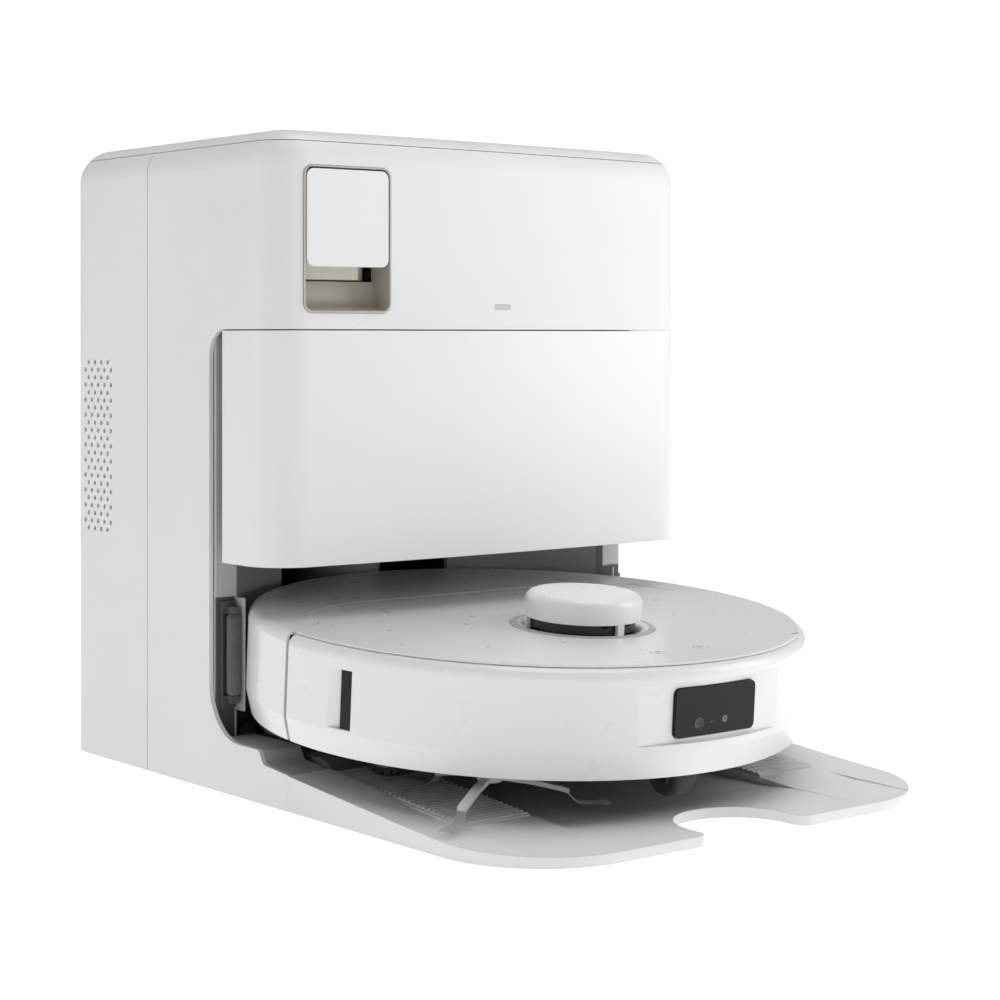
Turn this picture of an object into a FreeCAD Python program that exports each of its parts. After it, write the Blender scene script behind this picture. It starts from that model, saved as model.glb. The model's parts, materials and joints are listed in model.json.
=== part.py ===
import FreeCAD, Part
import math
import os

import Sketcher

# Robot vacuum parked in its self-emptying, mop-washing station.
# Frame: millimetres, +X to the right of the station's front, +Y to the rear, +Z up.
# The origin is the middle of the footprint, on the floor.

V = FreeCAD.Vector
X_AXIS, Y_AXIS, Z_AXIS = V(1, 0, 0), V(0, 1, 0), V(0, 0, 1)

doc = FreeCAD.newDocument("robot_vacuum")
sheet = doc.addObject("Spreadsheet::Sheet", "Dims")

DRIVING = {
    # station
    "dock_width": 340.0, "dock_depth": 487.0, "dock_height": 406.0, "skin": 3.0,
    "face_y": -12.7, "panel_rear": 48.0, "arch_y": 63.0, "casing_split": 138.7,
    "ramp_seam": -25.0, "seam_height": 284.5, "panel_low": 141.2, "lid_low": 398.5,
    "bow_radius": 2500.0, "duct_y": 169.0, "front_corner": 28.0, "rear_corner": 20.0, "top_round": 22.0,
    "arch_low": 32.0, "arch_low_round": 34.0, "arch_top_round": 16.0,
    "bay_half": 152.0, "bay_radius": 184.0, "bay_centre": -36.0, "duct_half": 70.0,
    "pad_left": -145.8, "pad_right": -87.2, "pad_low": 322.6, "pad_high": 381.7,
    "recess_low": 294.4, "bezel_wide": 2.0,
    "ramp_edge": 6.0, "ramp_corner": 68.0, "notch_half": 37.0, "notch_depth": 52.0,
    "track_in": 90.0, "track_out": 140.0,
    # robot, in its own frame: floor plane at zero, travelling towards -Y
    "robot_y": -34.8, "robot_z": 21.06, "robot_tilt": 3.84,
    "body_radius": 175.0, "body_low": 21.2, "body_high": 86.0, "crease_high": 36.0,
    "split_y": 10.0, "bumper_gap": 3.0, "shell_wall": 2.5, "inner_radius": 163.0,
    "plate_radius": 170.0, "plate_low": 84.8, "plate_rear": 73.0,
    "lidar_y": -53.0, "lidar_ring": 44.5, "lidar_cap": 36.0, "lidar_high": 107.0,
    "wheel_x": 112.0, "wheel_y": -15.0, "wheel_radius": 35.0, "wheel_wide": 22.0,
    "caster_y": -139.5, "caster_radius": 15.0, "caster_plate": 18.4,
    "roller_y": -58.0, "roller_z": 23.0, "roller_half": 70.0,
    "brush_x": -106.0, "brush_y": -100.0, "brush_reach": 46.0,
    "mop_x": 70.0, "mop_y": 78.0, "mop_radius": 66.0, "mop_low": 4.0,
}


class Dim:
    """A length that keeps both its value and the sheet formula that it comes from."""

    def __init__(self, value, formula):
        self.value = float(value)
        self.formula = formula

    def joined(self, sign, other, value):
        return Dim(value, "({} {} {})".format(self.formula, sign, as_dim(other).formula))

    def __add__(self, other):
        return self.joined("+", other, self.value + as_dim(other).value)

    def __sub__(self, other):
        return self.joined("-", other, self.value - as_dim(other).value)

    def __mul__(self, other):
        return self.joined("*", other, self.value * as_dim(other).value)

    def __truediv__(self, other):
        return self.joined("/", other, self.value / as_dim(other).value)

    def __radd__(self, other):
        return as_dim(other) + self

    def __rsub__(self, other):
        return as_dim(other) - self

    def __rmul__(self, other):
        return as_dim(other) * self

    def __neg__(self):
        return as_dim(0) - self


def as_dim(size):
    """A plain number as a Dim."""
    return size if isinstance(size, Dim) else Dim(size, repr(float(size)))


def fill_sheet():
    """Write every driving dimension to the sheet, and hand each back as a Dim."""
    found = {}
    for row, (alias, value) in enumerate(DRIVING.items(), start=1):
        sheet.set("A{}".format(row), alias)
        sheet.set("B{}".format(row), str(value))
        sheet.setAlias("B{}".format(row), alias)
        found[alias] = Dim(value, "Dims." + alias)
    doc.recompute()
    return found


D = fill_sheet()
half_width = D["dock_width"] / 2
rear_y = D["dock_depth"] / 2
front_y = -rear_y
inner_half = half_width - D["skin"] - 0.2


# ---------------------------------------------------------------- helpers

def bind(thing, prop, size):
    """Bind one property of a document object to its sheet formula."""
    if "Dims." in as_dim(size).formula:
        thing.setExpression(prop, as_dim(size).formula)


def place(thing, x, y, z, turn=None):
    """Put an object at x, y, z, each bound to the sheet."""
    at = V(as_dim(x).value, as_dim(y).value, as_dim(z).value)
    thing.Placement = FreeCAD.Placement(at, turn or FreeCAD.Rotation())
    for axis, size in zip("xyz", (x, y, z)):
        bind(thing, "Placement.Base." + axis, size)
    return thing


def sized(kind, name, **sizes):
    """A Part primitive with its sizes bound to the sheet."""
    thing = doc.addObject("Part::" + kind, name)
    for prop, size in sizes.items():
        setattr(thing, prop, as_dim(size).value)
        bind(thing, prop, size)
    return thing


def box(name, x, y, z):
    """A box between the low and high ends given for each axis."""
    solid = sized("Box", name, Length=x[1] - x[0], Width=y[1] - y[0], Height=z[1] - z[0])
    return place(solid, x[0], y[0], z[0])


TURNS = {
    "X": FreeCAD.Rotation(Y_AXIS, 90),
    "Y": FreeCAD.Rotation(X_AXIS, -90),
    "Z": FreeCAD.Rotation(),
}


def at_axis(solid, x, y, z, span, axis):
    """Stand a round primitive on the low end of its span, along its axis."""
    spot = {"X": (span[0], y, z), "Y": (x, span[0], z), "Z": (x, y, span[0])}[axis]
    return place(solid, *spot, TURNS[axis])


def rod(name, x, y, z, radius, span, axis="Z"):
    """A cylinder round the axis through x, y, z, from span's low end to its high end."""
    solid = sized("Cylinder", name, Radius=radius, Height=span[1] - span[0])
    return at_axis(solid, x, y, z, span, axis)


def taper(name, x, y, z, radii, span, axis="Z"):
    """A cone with its two radii at the two ends of its span."""
    solid = sized("Cone", name, Radius1=radii[0], Radius2=radii[1], Height=span[1] - span[0])
    return at_axis(solid, x, y, z, span, axis)


def fuse(name, *solids):
    """One solid out of several."""
    joined = doc.addObject("Part::MultiFuse", name)
    joined.Shapes = list(solids)
    joined.Refine = True
    return joined


def group(name, solids):
    """Several separate solids in one piece."""
    held = doc.addObject("Part::Compound", name)
    held.Links = list(solids)
    return held


def cut(name, base, *tools):
    """A solid with one or more tools taken away."""
    left = doc.addObject("Part::Cut", name)
    left.Base = base
    left.Tool = tools[0] if len(tools) == 1 else fuse(name + "_tools", *tools)
    left.Refine = True
    return left


def common(name, first, second):
    """What two solids share."""
    shared = doc.addObject("Part::Common", name)
    shared.Base = first
    shared.Tool = second
    shared.Refine = True
    return shared


def rounded(name, base, radius, wanted):
    """Round the edges of a solid that the test picks out."""
    doc.recompute()
    made = doc.addObject("Part::Fillet", name)
    made.Base = base
    size = as_dim(radius).value
    edges = enumerate(base.Shape.Edges, start=1)
    made.Edges = [(number, size, size) for number, edge in edges if wanted(edge)]
    doc.recompute()
    return made


def upright(edge):
    """Whether an edge is a vertical line."""
    ends = edge.BoundBox
    return ends.XLength < 1e-4 and ends.YLength < 1e-4 and ends.ZLength > 0.5


def level_at(height):
    """A test for edges that lie flat at one height."""
    def test(edge):
        ends = edge.BoundBox
        return abs(ends.ZMin - height) < 1e-3 and abs(ends.ZMax - height) < 1e-3
    return test


def origin_plane(body, role):
    """One of a body's own origin planes."""
    return next(f for f in body.Origin.OriginFeatures if f.Role == role)


def corner_arc(before, corner, after, radius):
    """Where a rounded corner starts and ends, and the arc between."""
    into = (corner - before).normalize()
    out = (after - corner).normalize()
    turn = into.getAngle(out)
    back = radius * math.tan(turn / 2)
    start, end = corner - into * back, corner + out * back
    middle = corner + (out - into).normalize() * (radius / math.cos(turn / 2) - radius)
    return start, end, Part.Arc(start, middle, end)


def outline(sketch, points, radii=None):
    """Draw a closed outline. Square corners are bound to the sheet, and round ones by radius."""
    radii = radii or {}
    flat = [V(as_dim(a).value, as_dim(b).value, 0) for a, b in points]
    count = len(flat)
    rounds = {
        n: corner_arc(flat[n - 1], flat[n], flat[(n + 1) % count], as_dim(r).value)
        for n, r in radii.items()
    }
    for n in range(count):
        after = (n + 1) % count
        start = rounds[n][1] if n in rounds else flat[n]
        end = rounds[after][0] if after in rounds else flat[after]
        line = sketch.addGeometry(Part.LineSegment(start, end), False)
        if n not in rounds:
            for kind, size in zip(("DistanceX", "DistanceY"), points[n]):
                value = as_dim(size).value
                held = sketch.addConstraint(Sketcher.Constraint(kind, line, 1, value))
                bind(sketch, "Constraints[{}]".format(held), size)
    for n, (start, end, arc) in rounds.items():
        made = sketch.addGeometry(arc, False)
        radius = as_dim(radii[n])
        held = sketch.addConstraint(Sketcher.Constraint("Radius", made, radius.value))
        bind(sketch, "Constraints[{}]".format(held), radius)


def body_with_sketch(name, role, offset=0):
    """A new body, and a sketch on one of its origin planes."""
    body = doc.addObject("PartDesign::Body", name)
    sketch = add_sketch(body, name + "_sketch", role, offset)
    return body, sketch


def add_sketch(body, name, role, offset):
    """A sketch on a plane parallel to one of the body's own."""
    sketch = body.newObject("Sketcher::SketchObject", name)
    sketch.AttachmentSupport = [(origin_plane(body, role), "")]
    sketch.MapMode = "FlatFace"
    sketch.AttachmentOffset = FreeCAD.Placement(V(0, 0, as_dim(offset).value), FreeCAD.Rotation())
    bind(sketch, "AttachmentOffset.Base.z", offset)
    return sketch


def slab(name, points, span, radii=None, role="XY_Plane"):
    """A body: an outline padded along the plane's normal, from span's low to its high end."""
    body, sketch = body_with_sketch(name, role, span[0])
    outline(sketch, points, radii)
    pad = body.newObject("PartDesign::Pad", name + "_pad")
    pad.Profile = sketch
    pad.Length = as_dim(span[1] - span[0]).value
    bind(pad, "Length", span[1] - span[0])
    return body


def turned(name, points, radii=None):
    """A body: an outline of radius and height turned round Z."""
    body, sketch = body_with_sketch(name, "XZ_Plane")
    outline(sketch, points, radii)
    spin = body.newObject("PartDesign::Revolution", name + "_turn")
    spin.Profile = sketch
    spin.ReferenceAxis = (sketch, ["V_Axis"])
    spin.Angle = 360
    return body


def moved(name, solid, x, y, z, turn=None):
    """A copy of a solid, linked to it, at another place."""
    copy = doc.addObject("Part::Compound", name)
    copy.Links = [solid]
    return place(copy, x, y, z, turn)


def radial_block(name, turn, half, z, reach, shift=0.0):
    """A block across a radius of the robot, at a bearing measured from its front."""
    block = sized("Box", name, Length=half * 2, Width=reach[1] - reach[0], Height=z[1] - z[0])
    spin = FreeCAD.Rotation(Z_AXIS, turn)
    corner = spin.multVec(V(shift - half, -reach[1], z[0]))
    return place(block, corner.x, corner.y, corner.z, spin)


contact_turn, sensor_turn = 150.0, 77.0
NODES = []


def node(thing, label, frame=None):
    """Name a finished sub-part. A robot piece is set into the station by its own placement."""
    thing.Label = label
    if frame == "robot":
        lean = FreeCAD.Rotation(X_AXIS, DRIVING["robot_tilt"])
        place(thing, 0, D["robot_y"], D["robot_z"], lean)
    NODES.append(thing)
    return thing


def mirrored_pair(name, make):
    """The left and right copies of a piece, made with side -1 and +1."""
    for word, side in (("left", -1), ("right", 1)):
        make("{}_{}".format(name, word), side)


def both(low, high, side):
    """A span on one side of the middle plane."""
    return (low, high) if side > 0 else (-high, -low)


# ---------------------------------------------------------------- station: outer casing

def station_form(name, inset):
    """The station's outer block: bowed front, round corners and round top, set in by inset."""
    low = -1 if inset else 0
    block = box(
        name + "_block", (-half_width + inset, half_width - inset),
        (D["face_y"] + inset, rear_y - inset), (low, D["dock_height"] - inset),
    )
    bow_middle = D["face_y"] + D["bow_radius"]
    bow = rod(name + "_bow", 0, bow_middle, 0, D["bow_radius"] - inset, (-2, D["dock_height"] + 2))
    bowed = common(name + "_bowed", block, bow)
    middle = (DRIVING["face_y"] + DRIVING["dock_depth"] / 2) / 2
    front = rounded(
        name + "_front", bowed, D["front_corner"] - inset,
        lambda edge: upright(edge) and edge.BoundBox.YMin < middle,
    )
    rear = rounded(
        name + "_rear", front, D["rear_corner"] - inset,
        lambda edge: upright(edge) and edge.BoundBox.YMin > rear_y.value - inset - 1,
    )
    top = DRIVING["dock_height"] - inset
    return rounded(name + "_form", rear, D["top_round"] - inset, level_at(top))


outer_form = station_form("outer", 0)
inner_form = station_form("inner", DRIVING["skin"])
casing_shell = cut("casing_shell", outer_form, inner_form)

# Side outline of the main casing: the front band above, and a leg that runs forward at the floor.
leg_top = 24.0
arch_side = [
    (D["casing_split"], 0), (D["casing_split"], D["lid_low"]), (D["face_y"] - 5, D["lid_low"]),
    (D["face_y"] - 5, D["seam_height"]), (D["arch_y"], D["seam_height"]),
    (D["arch_y"], D["arch_low"]), (7, D["arch_low"]), (2, leg_top), (D["ramp_seam"], 21.5),
    (D["ramp_seam"], 0),
]


def side_slab(name, points, half, radii=None):
    """A Y-Z outline padded across the station's whole width."""
    return slab(name, points, (-half, half), radii, role="YZ_Plane")


pad_half = (D["pad_right"] - D["pad_left"]) / 2
pad_middle = (D["pad_right"] + D["pad_left"]) / 2
face_lean = math.degrees(math.asin(pad_middle.value / DRIVING["bow_radius"]))
pad_face = D["face_y"] + pad_middle * pad_middle / (D["bow_radius"] * 2)


def on_face(name, solid):
    """Set a piece modelled about its own middle square to the bowed front, at the cartridge."""
    return moved(name, solid, pad_middle, pad_face, 0, FreeCAD.Rotation(Z_AXIS, face_lean))


screw_spots = [(x, z) for x in (-140.0, 140.0) for z in (90.0, 230.0, 370.0)]
screw_radius = 3.6
hinge_y, hinge_z = 237.0, 398.9


def main_casing():
    """Front band, sides down to the floor, and the arch that the robot drives into."""
    rounds = {4: D["arch_top_round"], 5: D["arch_low_round"]}
    keep = side_slab("casing_keep", arch_side, half_width + 5, rounds)
    way_in = box(
        "casing_way_in", (-half_width - 5, half_width + 5), (D["face_y"] - 5, D["face_y"] + 29), (-2, 33)
    )
    shell = cut("casing_upper", common("casing_band", casing_shell, keep), way_in)
    # The forward legs are plates that carry the side walls past the bowed front.
    leg_side = [
        (D["ramp_seam"], 0), (D["ramp_seam"], 21.5), (2, leg_top), (7, D["arch_low"]),
        (D["arch_y"] + 2, D["arch_low"]), (D["arch_y"] + 2, 0),
    ]
    legs = []
    for side in (-1, 1):
        span = both(half_width - D["skin"], half_width, side)
        legs.append(slab("leg_{}".format(side + 1), leg_side, span, {2: 5, 3: 3}, "YZ_Plane"))
    # Opening for the detergent cartridge.
    edge = D["bezel_wide"] + 0.15
    mouth = box(
        "cartridge_mouth", (-pad_half - edge, pad_half + edge), (-8, 16),
        (D["recess_low"] - 0.15, D["pad_high"] + edge),
    )
    mouth = on_face("cartridge_mouth_turned", rounded("cartridge_mouth_round", mouth, 6.2, along_y))
    lamp = box("lamp_slot", (-4.45, 9.25), (D["face_y"] - 4, D["face_y"] + 8), (297.35, 300.65))
    lamp = rounded("lamp_slot_round", lamp, 1.55, along_y)
    whole = fuse("casing_whole", shell, *legs)
    node(cut("casing_cut", whole, mouth, lamp), "main_casing")


def along_y(edge):
    """Whether an edge is a straight line along Y."""
    ends = edge.BoundBox
    return ends.XLength < 1e-4 and ends.ZLength < 1e-4 and ends.YLength > 0.5


def rear_casing():
    """Back half of the casing, with vent holes on both sides and the inlet's opening."""
    keep = box(
        "rear_keep", (-half_width - 5, half_width + 5), (D["casing_split"] + 0.6, rear_y + 5),
        (0, D["lid_low"]),
    )
    shell = common("casing_rear", casing_shell, keep)
    rows, pitch_y, pitch_z, middle_y, first_z = 23, 8.6, 5.05, 204.2, 152.0
    holes = []
    for row in range(rows):
        columns = 4 + row % 2
        for column in range(columns):
            y = middle_y + (column - (columns - 1) / 2) * pitch_y
            z = first_z + row * pitch_z
            holes.append(rod("vent_{}_{}".format(row, column), 0, y, z, 1.6,
                             (-half_width - 5, half_width + 5), "X"))
    for n, (x, z) in enumerate(screw_spots):
        holes.append(rod("screw_hole_{}".format(n), x, 0, z, screw_radius + 0.1, (rear_y - 8, rear_y + 5), "Y"))
    inlet = box("inlet_hole", (93, 131), (rear_y - 8, rear_y + 5), (24, 52))
    holes += hinge_rods("hinge_seat", 1.45, 20.4)
    node(cut("rear_cut", shell, group("vents", holes), inlet), "rear_casing")


def hinge_rods(name, thickness, half):
    """Two rods on the lid's hinge line, near its ends."""
    return [rod("{}_{}".format(name, n), 0, hinge_y, hinge_z, thickness, both(80 - half, 80 + half, side), "X")
            for n, side in enumerate((-1, 1))]


def top_lid():
    """Lid over the water tanks: the round top of the station, hinged at the rear."""
    keep = box("lid_keep", (-half_width, half_width), (D["face_y"] - 5, rear_y + 5),
               (D["lid_low"] + 0.35, D["dock_height"] + 5))
    shell = common("lid_shell", casing_shell, keep)
    node(fuse("lid_whole", shell, *hinge_rods("lid_knuckle", 1.4, 20)), "top_lid")


def bow_at(x):
    """The bowed front's Y at a distance from the middle."""
    return D["face_y"] + x * x / (DRIVING["bow_radius"] * 2)


def front_panel():
    """Pull-off panel in front of the dust bag: it wraps round both front corners."""
    keep = box(
        "panel_keep", (-half_width - 5, half_width + 5), (D["face_y"] - 5, D["panel_rear"]),
        (D["panel_low"], D["seam_height"] - 0.7),
    )
    shell = common("panel_shell", casing_shell, keep)
    ribs = [
        box("panel_rib_{}".format(n), (x - 1, x + 1), (bow_at(x) + 1.8, bow_at(x) + 6.5), (150, 275))
        for n, x in enumerate((-120.0, -40.0, 40.0, 120.0))
    ]
    node(fuse("panel_fused", shell, *ribs), "front_panel")


main_casing()
rear_casing()
top_lid()
front_panel()


# ---------------------------------------------------------------- station: base

foot_spots = [(x, y) for y in (-195.0, 0.0, 215.0) for x in (-125.0, 125.0)]
foot_radius, foot_high = 10.0, 2.0


def foot_pockets(name, spots):
    """Shallow round pockets in the underside, one for each rubber foot."""
    return group(name + "_pockets", [
        rod("{}_pocket_{}".format(name, n), x, y, 0, foot_radius, (-1, foot_high))
        for n, (x, y) in enumerate(spots)
    ])


ramp_top = [(-25, 21.2), (-69, 17.3), (-100, 14.6), (-135, 11.5), (-172, 8.6)]
ridge_top = [(-25, 22.0), (-69, 18.4), (-100, 13.0), (-135, 9.0), (-172, 7.6)]


def ramp_outline():
    """Plan of the ramp: large front corners, and a U-shaped notch in the middle."""
    inner_y = front_y + D["notch_depth"]
    points = [
        (-half_width, D["ramp_seam"]), (-half_width, front_y), (-D["notch_half"], front_y),
        (-D["notch_half"], inner_y), (D["notch_half"], inner_y), (D["notch_half"], front_y),
        (half_width, front_y), (half_width, D["ramp_seam"]),
    ]
    curve = D["notch_half"] - 0.5
    rounds = {1: D["ramp_corner"], 2: 8, 3: curve, 4: curve, 5: 8, 6: D["ramp_corner"]}
    return slab("ramp_plan", points, (0, 60), rounds)


def band(name, profile, span):
    """A strip of ramp across one range of X, with the given top."""
    foot = [(front_y, 0), (D["ramp_seam"], 0)]
    return slab(name, foot + profile + [(front_y, D["ramp_edge"])], span, role="YZ_Plane")


def fairing(name, side):
    """The outer strip: a ruled surface from the ramp's rim to the ridge beside the wheel track."""
    body = doc.addObject("PartDesign::Body", name)
    sketches = []
    for word, x, top in (("rim", half_width, ramp_top), ("ridge", D["track_out"], ridge_top)):
        sketch = add_sketch(body, "{}_{}".format(name, word), "YZ_Plane", side * x)
        foot = [(front_y, 0), (D["ramp_seam"], 0)]
        outline(sketch, foot + top + [(front_y, D["ramp_edge"])])
        sketches.append(sketch)
    loft = body.newObject("PartDesign::AdditiveLoft", name + "_loft")
    loft.Profile = sketches[0]
    loft.Sections = [sketches[1]]
    loft.Ruled = True
    return body


def front_ramp():
    """Drive-on ramp: rim, ridges, sunk wheel tracks and a lower middle."""
    track = [(-25, 19.6), (-52, 17.3), (-150, 9.0), (-186, 6.4)]
    middle = [(-25, 12.0), (-60, 7.5), (-160, 4.6), (-186, 6.2)]
    strips = [band("ramp_middle", middle, (-D["track_in"], D["track_in"]))]
    for side in (-1, 1):
        word = "a" if side < 0 else "b"
        span = both(D["track_in"], D["track_out"], side)
        strips.append(band("ramp_track_" + word, track, span))
        strips.append(fairing("ramp_fairing_" + word, side))
    whole = fuse("ramp_whole", *strips)
    shaped = common("ramp_shaped", whole, ramp_outline())
    node(cut("ramp_cut", shaped, foot_pockets("ramp", foot_spots[:2])), "front_ramp")


def track_grip(side):
    """Ribbed rubber strip in one wheel track: cross ribs on a thin sloping sheet."""
    label = "grip_{}".format("a" if side < 0 else "b")
    steps, pitch, sheet_thick = 27, 4.6, 1.0
    start_y, slope = -30.0, 8.3 / 98.0
    low_x, high_x = D["track_in"] + 2, D["track_out"] - 2
    span = both(low_x, high_x, side)

    def height(y):
        return 17.3 + 0.1 + slope * (y + 52.0)

    end_y = start_y - steps * pitch
    thin = [
        (end_y, height(end_y)), (start_y, height(start_y)),
        (start_y, height(start_y) + sheet_thick), (end_y, height(end_y) + sheet_thick),
    ]
    pieces = [slab(label + "_sheet", thin, span, role="YZ_Plane")]
    for n in range(steps):
        y = start_y - (n + 0.5) * pitch
        z = height(y) + sheet_thick
        rib = [(y - 1.1, z - 0.5), (y + 1.1, z - 0.5), (y + 0.5, z + 0.9), (y - 0.5, z + 0.9)]
        pieces.append(slab("{}_rib_{}".format(label, n), rib, span, role="YZ_Plane"))
    return fuse(label + "_whole", *pieces)


def base_pan():
    """Floor of the station, inside the casing, with ledges that guide the robot in."""
    floor_high = 12.0
    floor = box("pan_floor", (-inner_half, inner_half), (D["ramp_seam"] + 0.3, 239), (0, floor_high))
    floor = rounded("pan_round", floor, 17, lambda e: upright(e) and e.BoundBox.YMin > 200)
    ledges = []
    for side in (-1, 1):
        span = both(D["track_out"], inner_half, side)
        side_view = [
            (D["ramp_seam"] + 0.3, floor_high - 1), (D["ramp_seam"] + 0.3, 21.4), (2, 23.8),
            (7, 31.5), (D["arch_y"] - 4, 31.5), (D["arch_y"] - 4, floor_high - 1),
        ]
        ledges.append(slab("pan_ledge_{}".format(side + 1), side_view, span, {2: 5, 3: 3}, "YZ_Plane"))
        span = both(D["track_in"], D["track_out"], side)
        sill = [
            (D["ramp_seam"] + 0.3, floor_high - 1), (D["ramp_seam"] + 0.3, 19.4), (-21, 19.4),
            (-21, floor_high - 1),
        ]
        ledges.append(slab("pan_sill_{}".format(side + 1), sill, span, role="YZ_Plane"))
    sump = box("pan_sump", (-60, 60), (150, 195), (4, floor_high + 1))
    pockets = foot_pockets("pan", foot_spots[2:])
    node(cut("pan_cut", fuse("pan_whole", floor, *ledges), sump, pockets), "base_pan")


def wash_tray():
    """Lift-out cleaning tray in the robot's own slope, with a ribbed scrubbing disc per mop."""
    low, top = -6.5, 1.4
    tray_side = [(14.4, low), (14.4, low + 4), (26, top), (180, top), (180, low)]
    plate = common(
        "tray_plate", slab("tray_block", tray_side, (-134, 134), role="YZ_Plane"),
        rod("tray_round", 0, 0, 0, D["bay_radius"] - 4, (low, top)),
    )
    pieces, wells = [], []
    for side in (-1, 1):
        word = "a" if side < 0 else "b"
        x = D["mop_x"] * side
        wells.append(rod("tray_well_" + word, x, D["mop_y"], 0, D["mop_radius"] + 1, (low + 3, top + 1)))
        for n in range(12):
            turn = n * 30.0
            reach = 44.0
            at_x = DRIVING["mop_x"] * side + reach * math.cos(math.radians(turn))
            at_y = DRIVING["mop_y"] + reach * math.sin(math.radians(turn))
            rib = sized("Box", "tray_rib_{}_{}".format(word, n), Length=34, Width=3, Height=7.5)
            spin = FreeCAD.Rotation(Z_AXIS, turn)
            corner = spin.multVec(V(-17, -1.5, 0))
            place(rib, at_x + corner.x, at_y + corner.y, low + 2.5, spin)
            pieces.append(rib)
        pieces.append(rod("tray_hub_" + word, x, D["mop_y"], 0, 14, (low + 2.5, top)))
    drain = box("tray_drain", (-9, 9), (100, 150), (low - 1, top + 1))
    hollow = cut("tray_hollow", plate, *wells, drain)
    node(fuse("tray_whole", hollow, *pieces), "wash_tray", "robot")


front_ramp()
node(group("grip_pair", [track_grip(-1), track_grip(1)]), "track_grips")
base_pan()
wash_tray()


# ---------------------------------------------------------------- station: bay and inside

bay_low, bay_high = 12.3, 141.0
roller_x, roller_y = 158.0, 54.0


def roller_bracket(label, side):
    """Pin and two arms that carry a guide roller on the arch's flange."""
    x, y = roller_x * side, roller_y
    pin = rod(label + "_pin", x, y, 0, 1.5, (54, 112))
    arms = [box("{}_arm_{}".format(label, n), (x - 2.6, x + 2.6), (y - 2.8, 60.1), z)
            for n, z in enumerate(((53, 57.6), (108.4, 113)))]
    fin = box(label + "_fin", both(152.2, 153.2, side), (49.5, 60.1), (48, 118))
    joint = box(label + "_joint", (x - 6, x + 6), (57.5, 60.1), (50, 116))
    slot = box(label + "_slot", (x - 5, x + 5), (50, 59.0), (57.6, 108.4))
    spine = cut(label + "_spine", joint, slot)
    return fuse(label + "_whole", pin, *arms, spine, fin)


def bay_liner():
    """Round wall of the robot's garage, with the two flanges that close the arch's sides."""
    wide = D["bay_half"]
    outer = common(
        "liner_outer", box("liner_block", (-wide - 3, wide + 3), (60, 160), (bay_low, bay_high)),
        rod("liner_drum", 0, D["bay_centre"], 0, D["bay_radius"] + 3, (0, 200)),
    )
    inner = common(
        "liner_inner", box("liner_room", (-wide, wide), (50, 170), (0, 200)),
        rod("liner_core", 0, D["bay_centre"], 0, D["bay_radius"], (0, 200)),
    )
    gap = box("liner_gap", (-D["duct_half"], D["duct_half"]), (100, 200), (24, 200))
    wall = cut("liner_wall", outer, inner, gap)
    pieces = [wall]
    for side in (-1, 1):
        word = "a" if side < 0 else "b"
        span = both(wide, inner_half, side)
        pieces.append(box("liner_flange_" + word, span, (60, 62.7), (32, 283)))
        pieces.append(box("liner_fin_" + word, both(wide, wide + 3, side), (60, 66), (bay_low, 283)))
        pieces.append(roller_bracket("bracket_" + word, side))
    node(fuse("liner_whole", *pieces), "bay_liner")


def bay_back():
    """Dark box behind the bay, which holds the suction port and the contacts."""
    half = D["duct_half"] - 0.2
    outer = box("back_outer", (-half, half), (137.6, 206), (24.5, bay_high))
    inner = box("back_inner", (2 - half, half - 2), (130, 203.5), (27, bay_high + 5))
    tray_room = box("back_tray_room", (2 - half, half - 2), (130, 149), (20, 28))
    node(cut("back_cut", outer, inner, tray_room), "bay_back")


def dust_duct():
    """Suction mouth behind the robot: a bell under a neck that bends forward above the bay."""
    y = D["duct_y"]
    bell = taper("duct_bell", 0, y, 0, (24, 32), (70, 141))
    bore = taper("duct_bore", 0, y, 0, (21, 29), (69, 138))
    mouth = box("duct_mouth", (-16, 16), (130, y), (76, 98))
    neck = rod("duct_neck", 0, y, 0, 24, (141, 185))
    neck_bore = rod("duct_neck_bore", 0, y, 0, 21, (137, 181))
    along = rod("duct_along", 0, 0, 163, 17, (76.6, y), "Y")
    along_bore = rod("duct_along_bore", 0, 0, 163, 14, (76, y), "Y")
    whole = fuse("duct_whole", bell, neck, along)
    node(cut("duct_cut", whole, bore, neck_bore, along_bore, mouth), "dust_duct")


def inner_frame():
    """Frame inside the casing: bay ceiling, side walls, tank shelf and dust-bag bulkhead."""
    wide = D["bay_half"] + 10
    ceiling = box("frame_ceiling", (0.2 - D["bay_half"], D["bay_half"] - 0.2), (0, 232), (bay_high + 0.8, 144.6))
    rear_ceiling = box("frame_rear_ceiling", (-wide, wide), (66.4, 232), (bay_high + 0.8, 144.6))
    hole = rod("frame_hole", 0, D["duct_y"], 0, 32.6, (130, 150))
    plates = [ceiling, rear_ceiling]
    for side in (-1, 1):
        span = both(wide - 2.5, wide, side)
        plates.append(box("frame_side_{}".format(side + 1), span, (64, 232), (142, 382)))
        cheek = both(D["bay_half"] - 2.7, D["bay_half"] - 0.2, side)
        plates.append(box("frame_cheek_{}".format(side + 1), cheek, (4, 66.4), (142, 283)))
    plates.append(box("frame_shelf", (-wide, wide), (76, 232), (195, 198)))
    plates.append(box("frame_bulkhead", (-wide, wide), (73, 76), (142, 382)))
    plates.append(box("frame_back", (-wide, wide), (232, 235), (142, 382)))
    shaft = rod("frame_shaft", 0, 0, 163, 15, (60, 90), "Y")
    node(cut("frame_cut", fuse("frame_whole", *plates), hole, shaft), "inner_frame")


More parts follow.
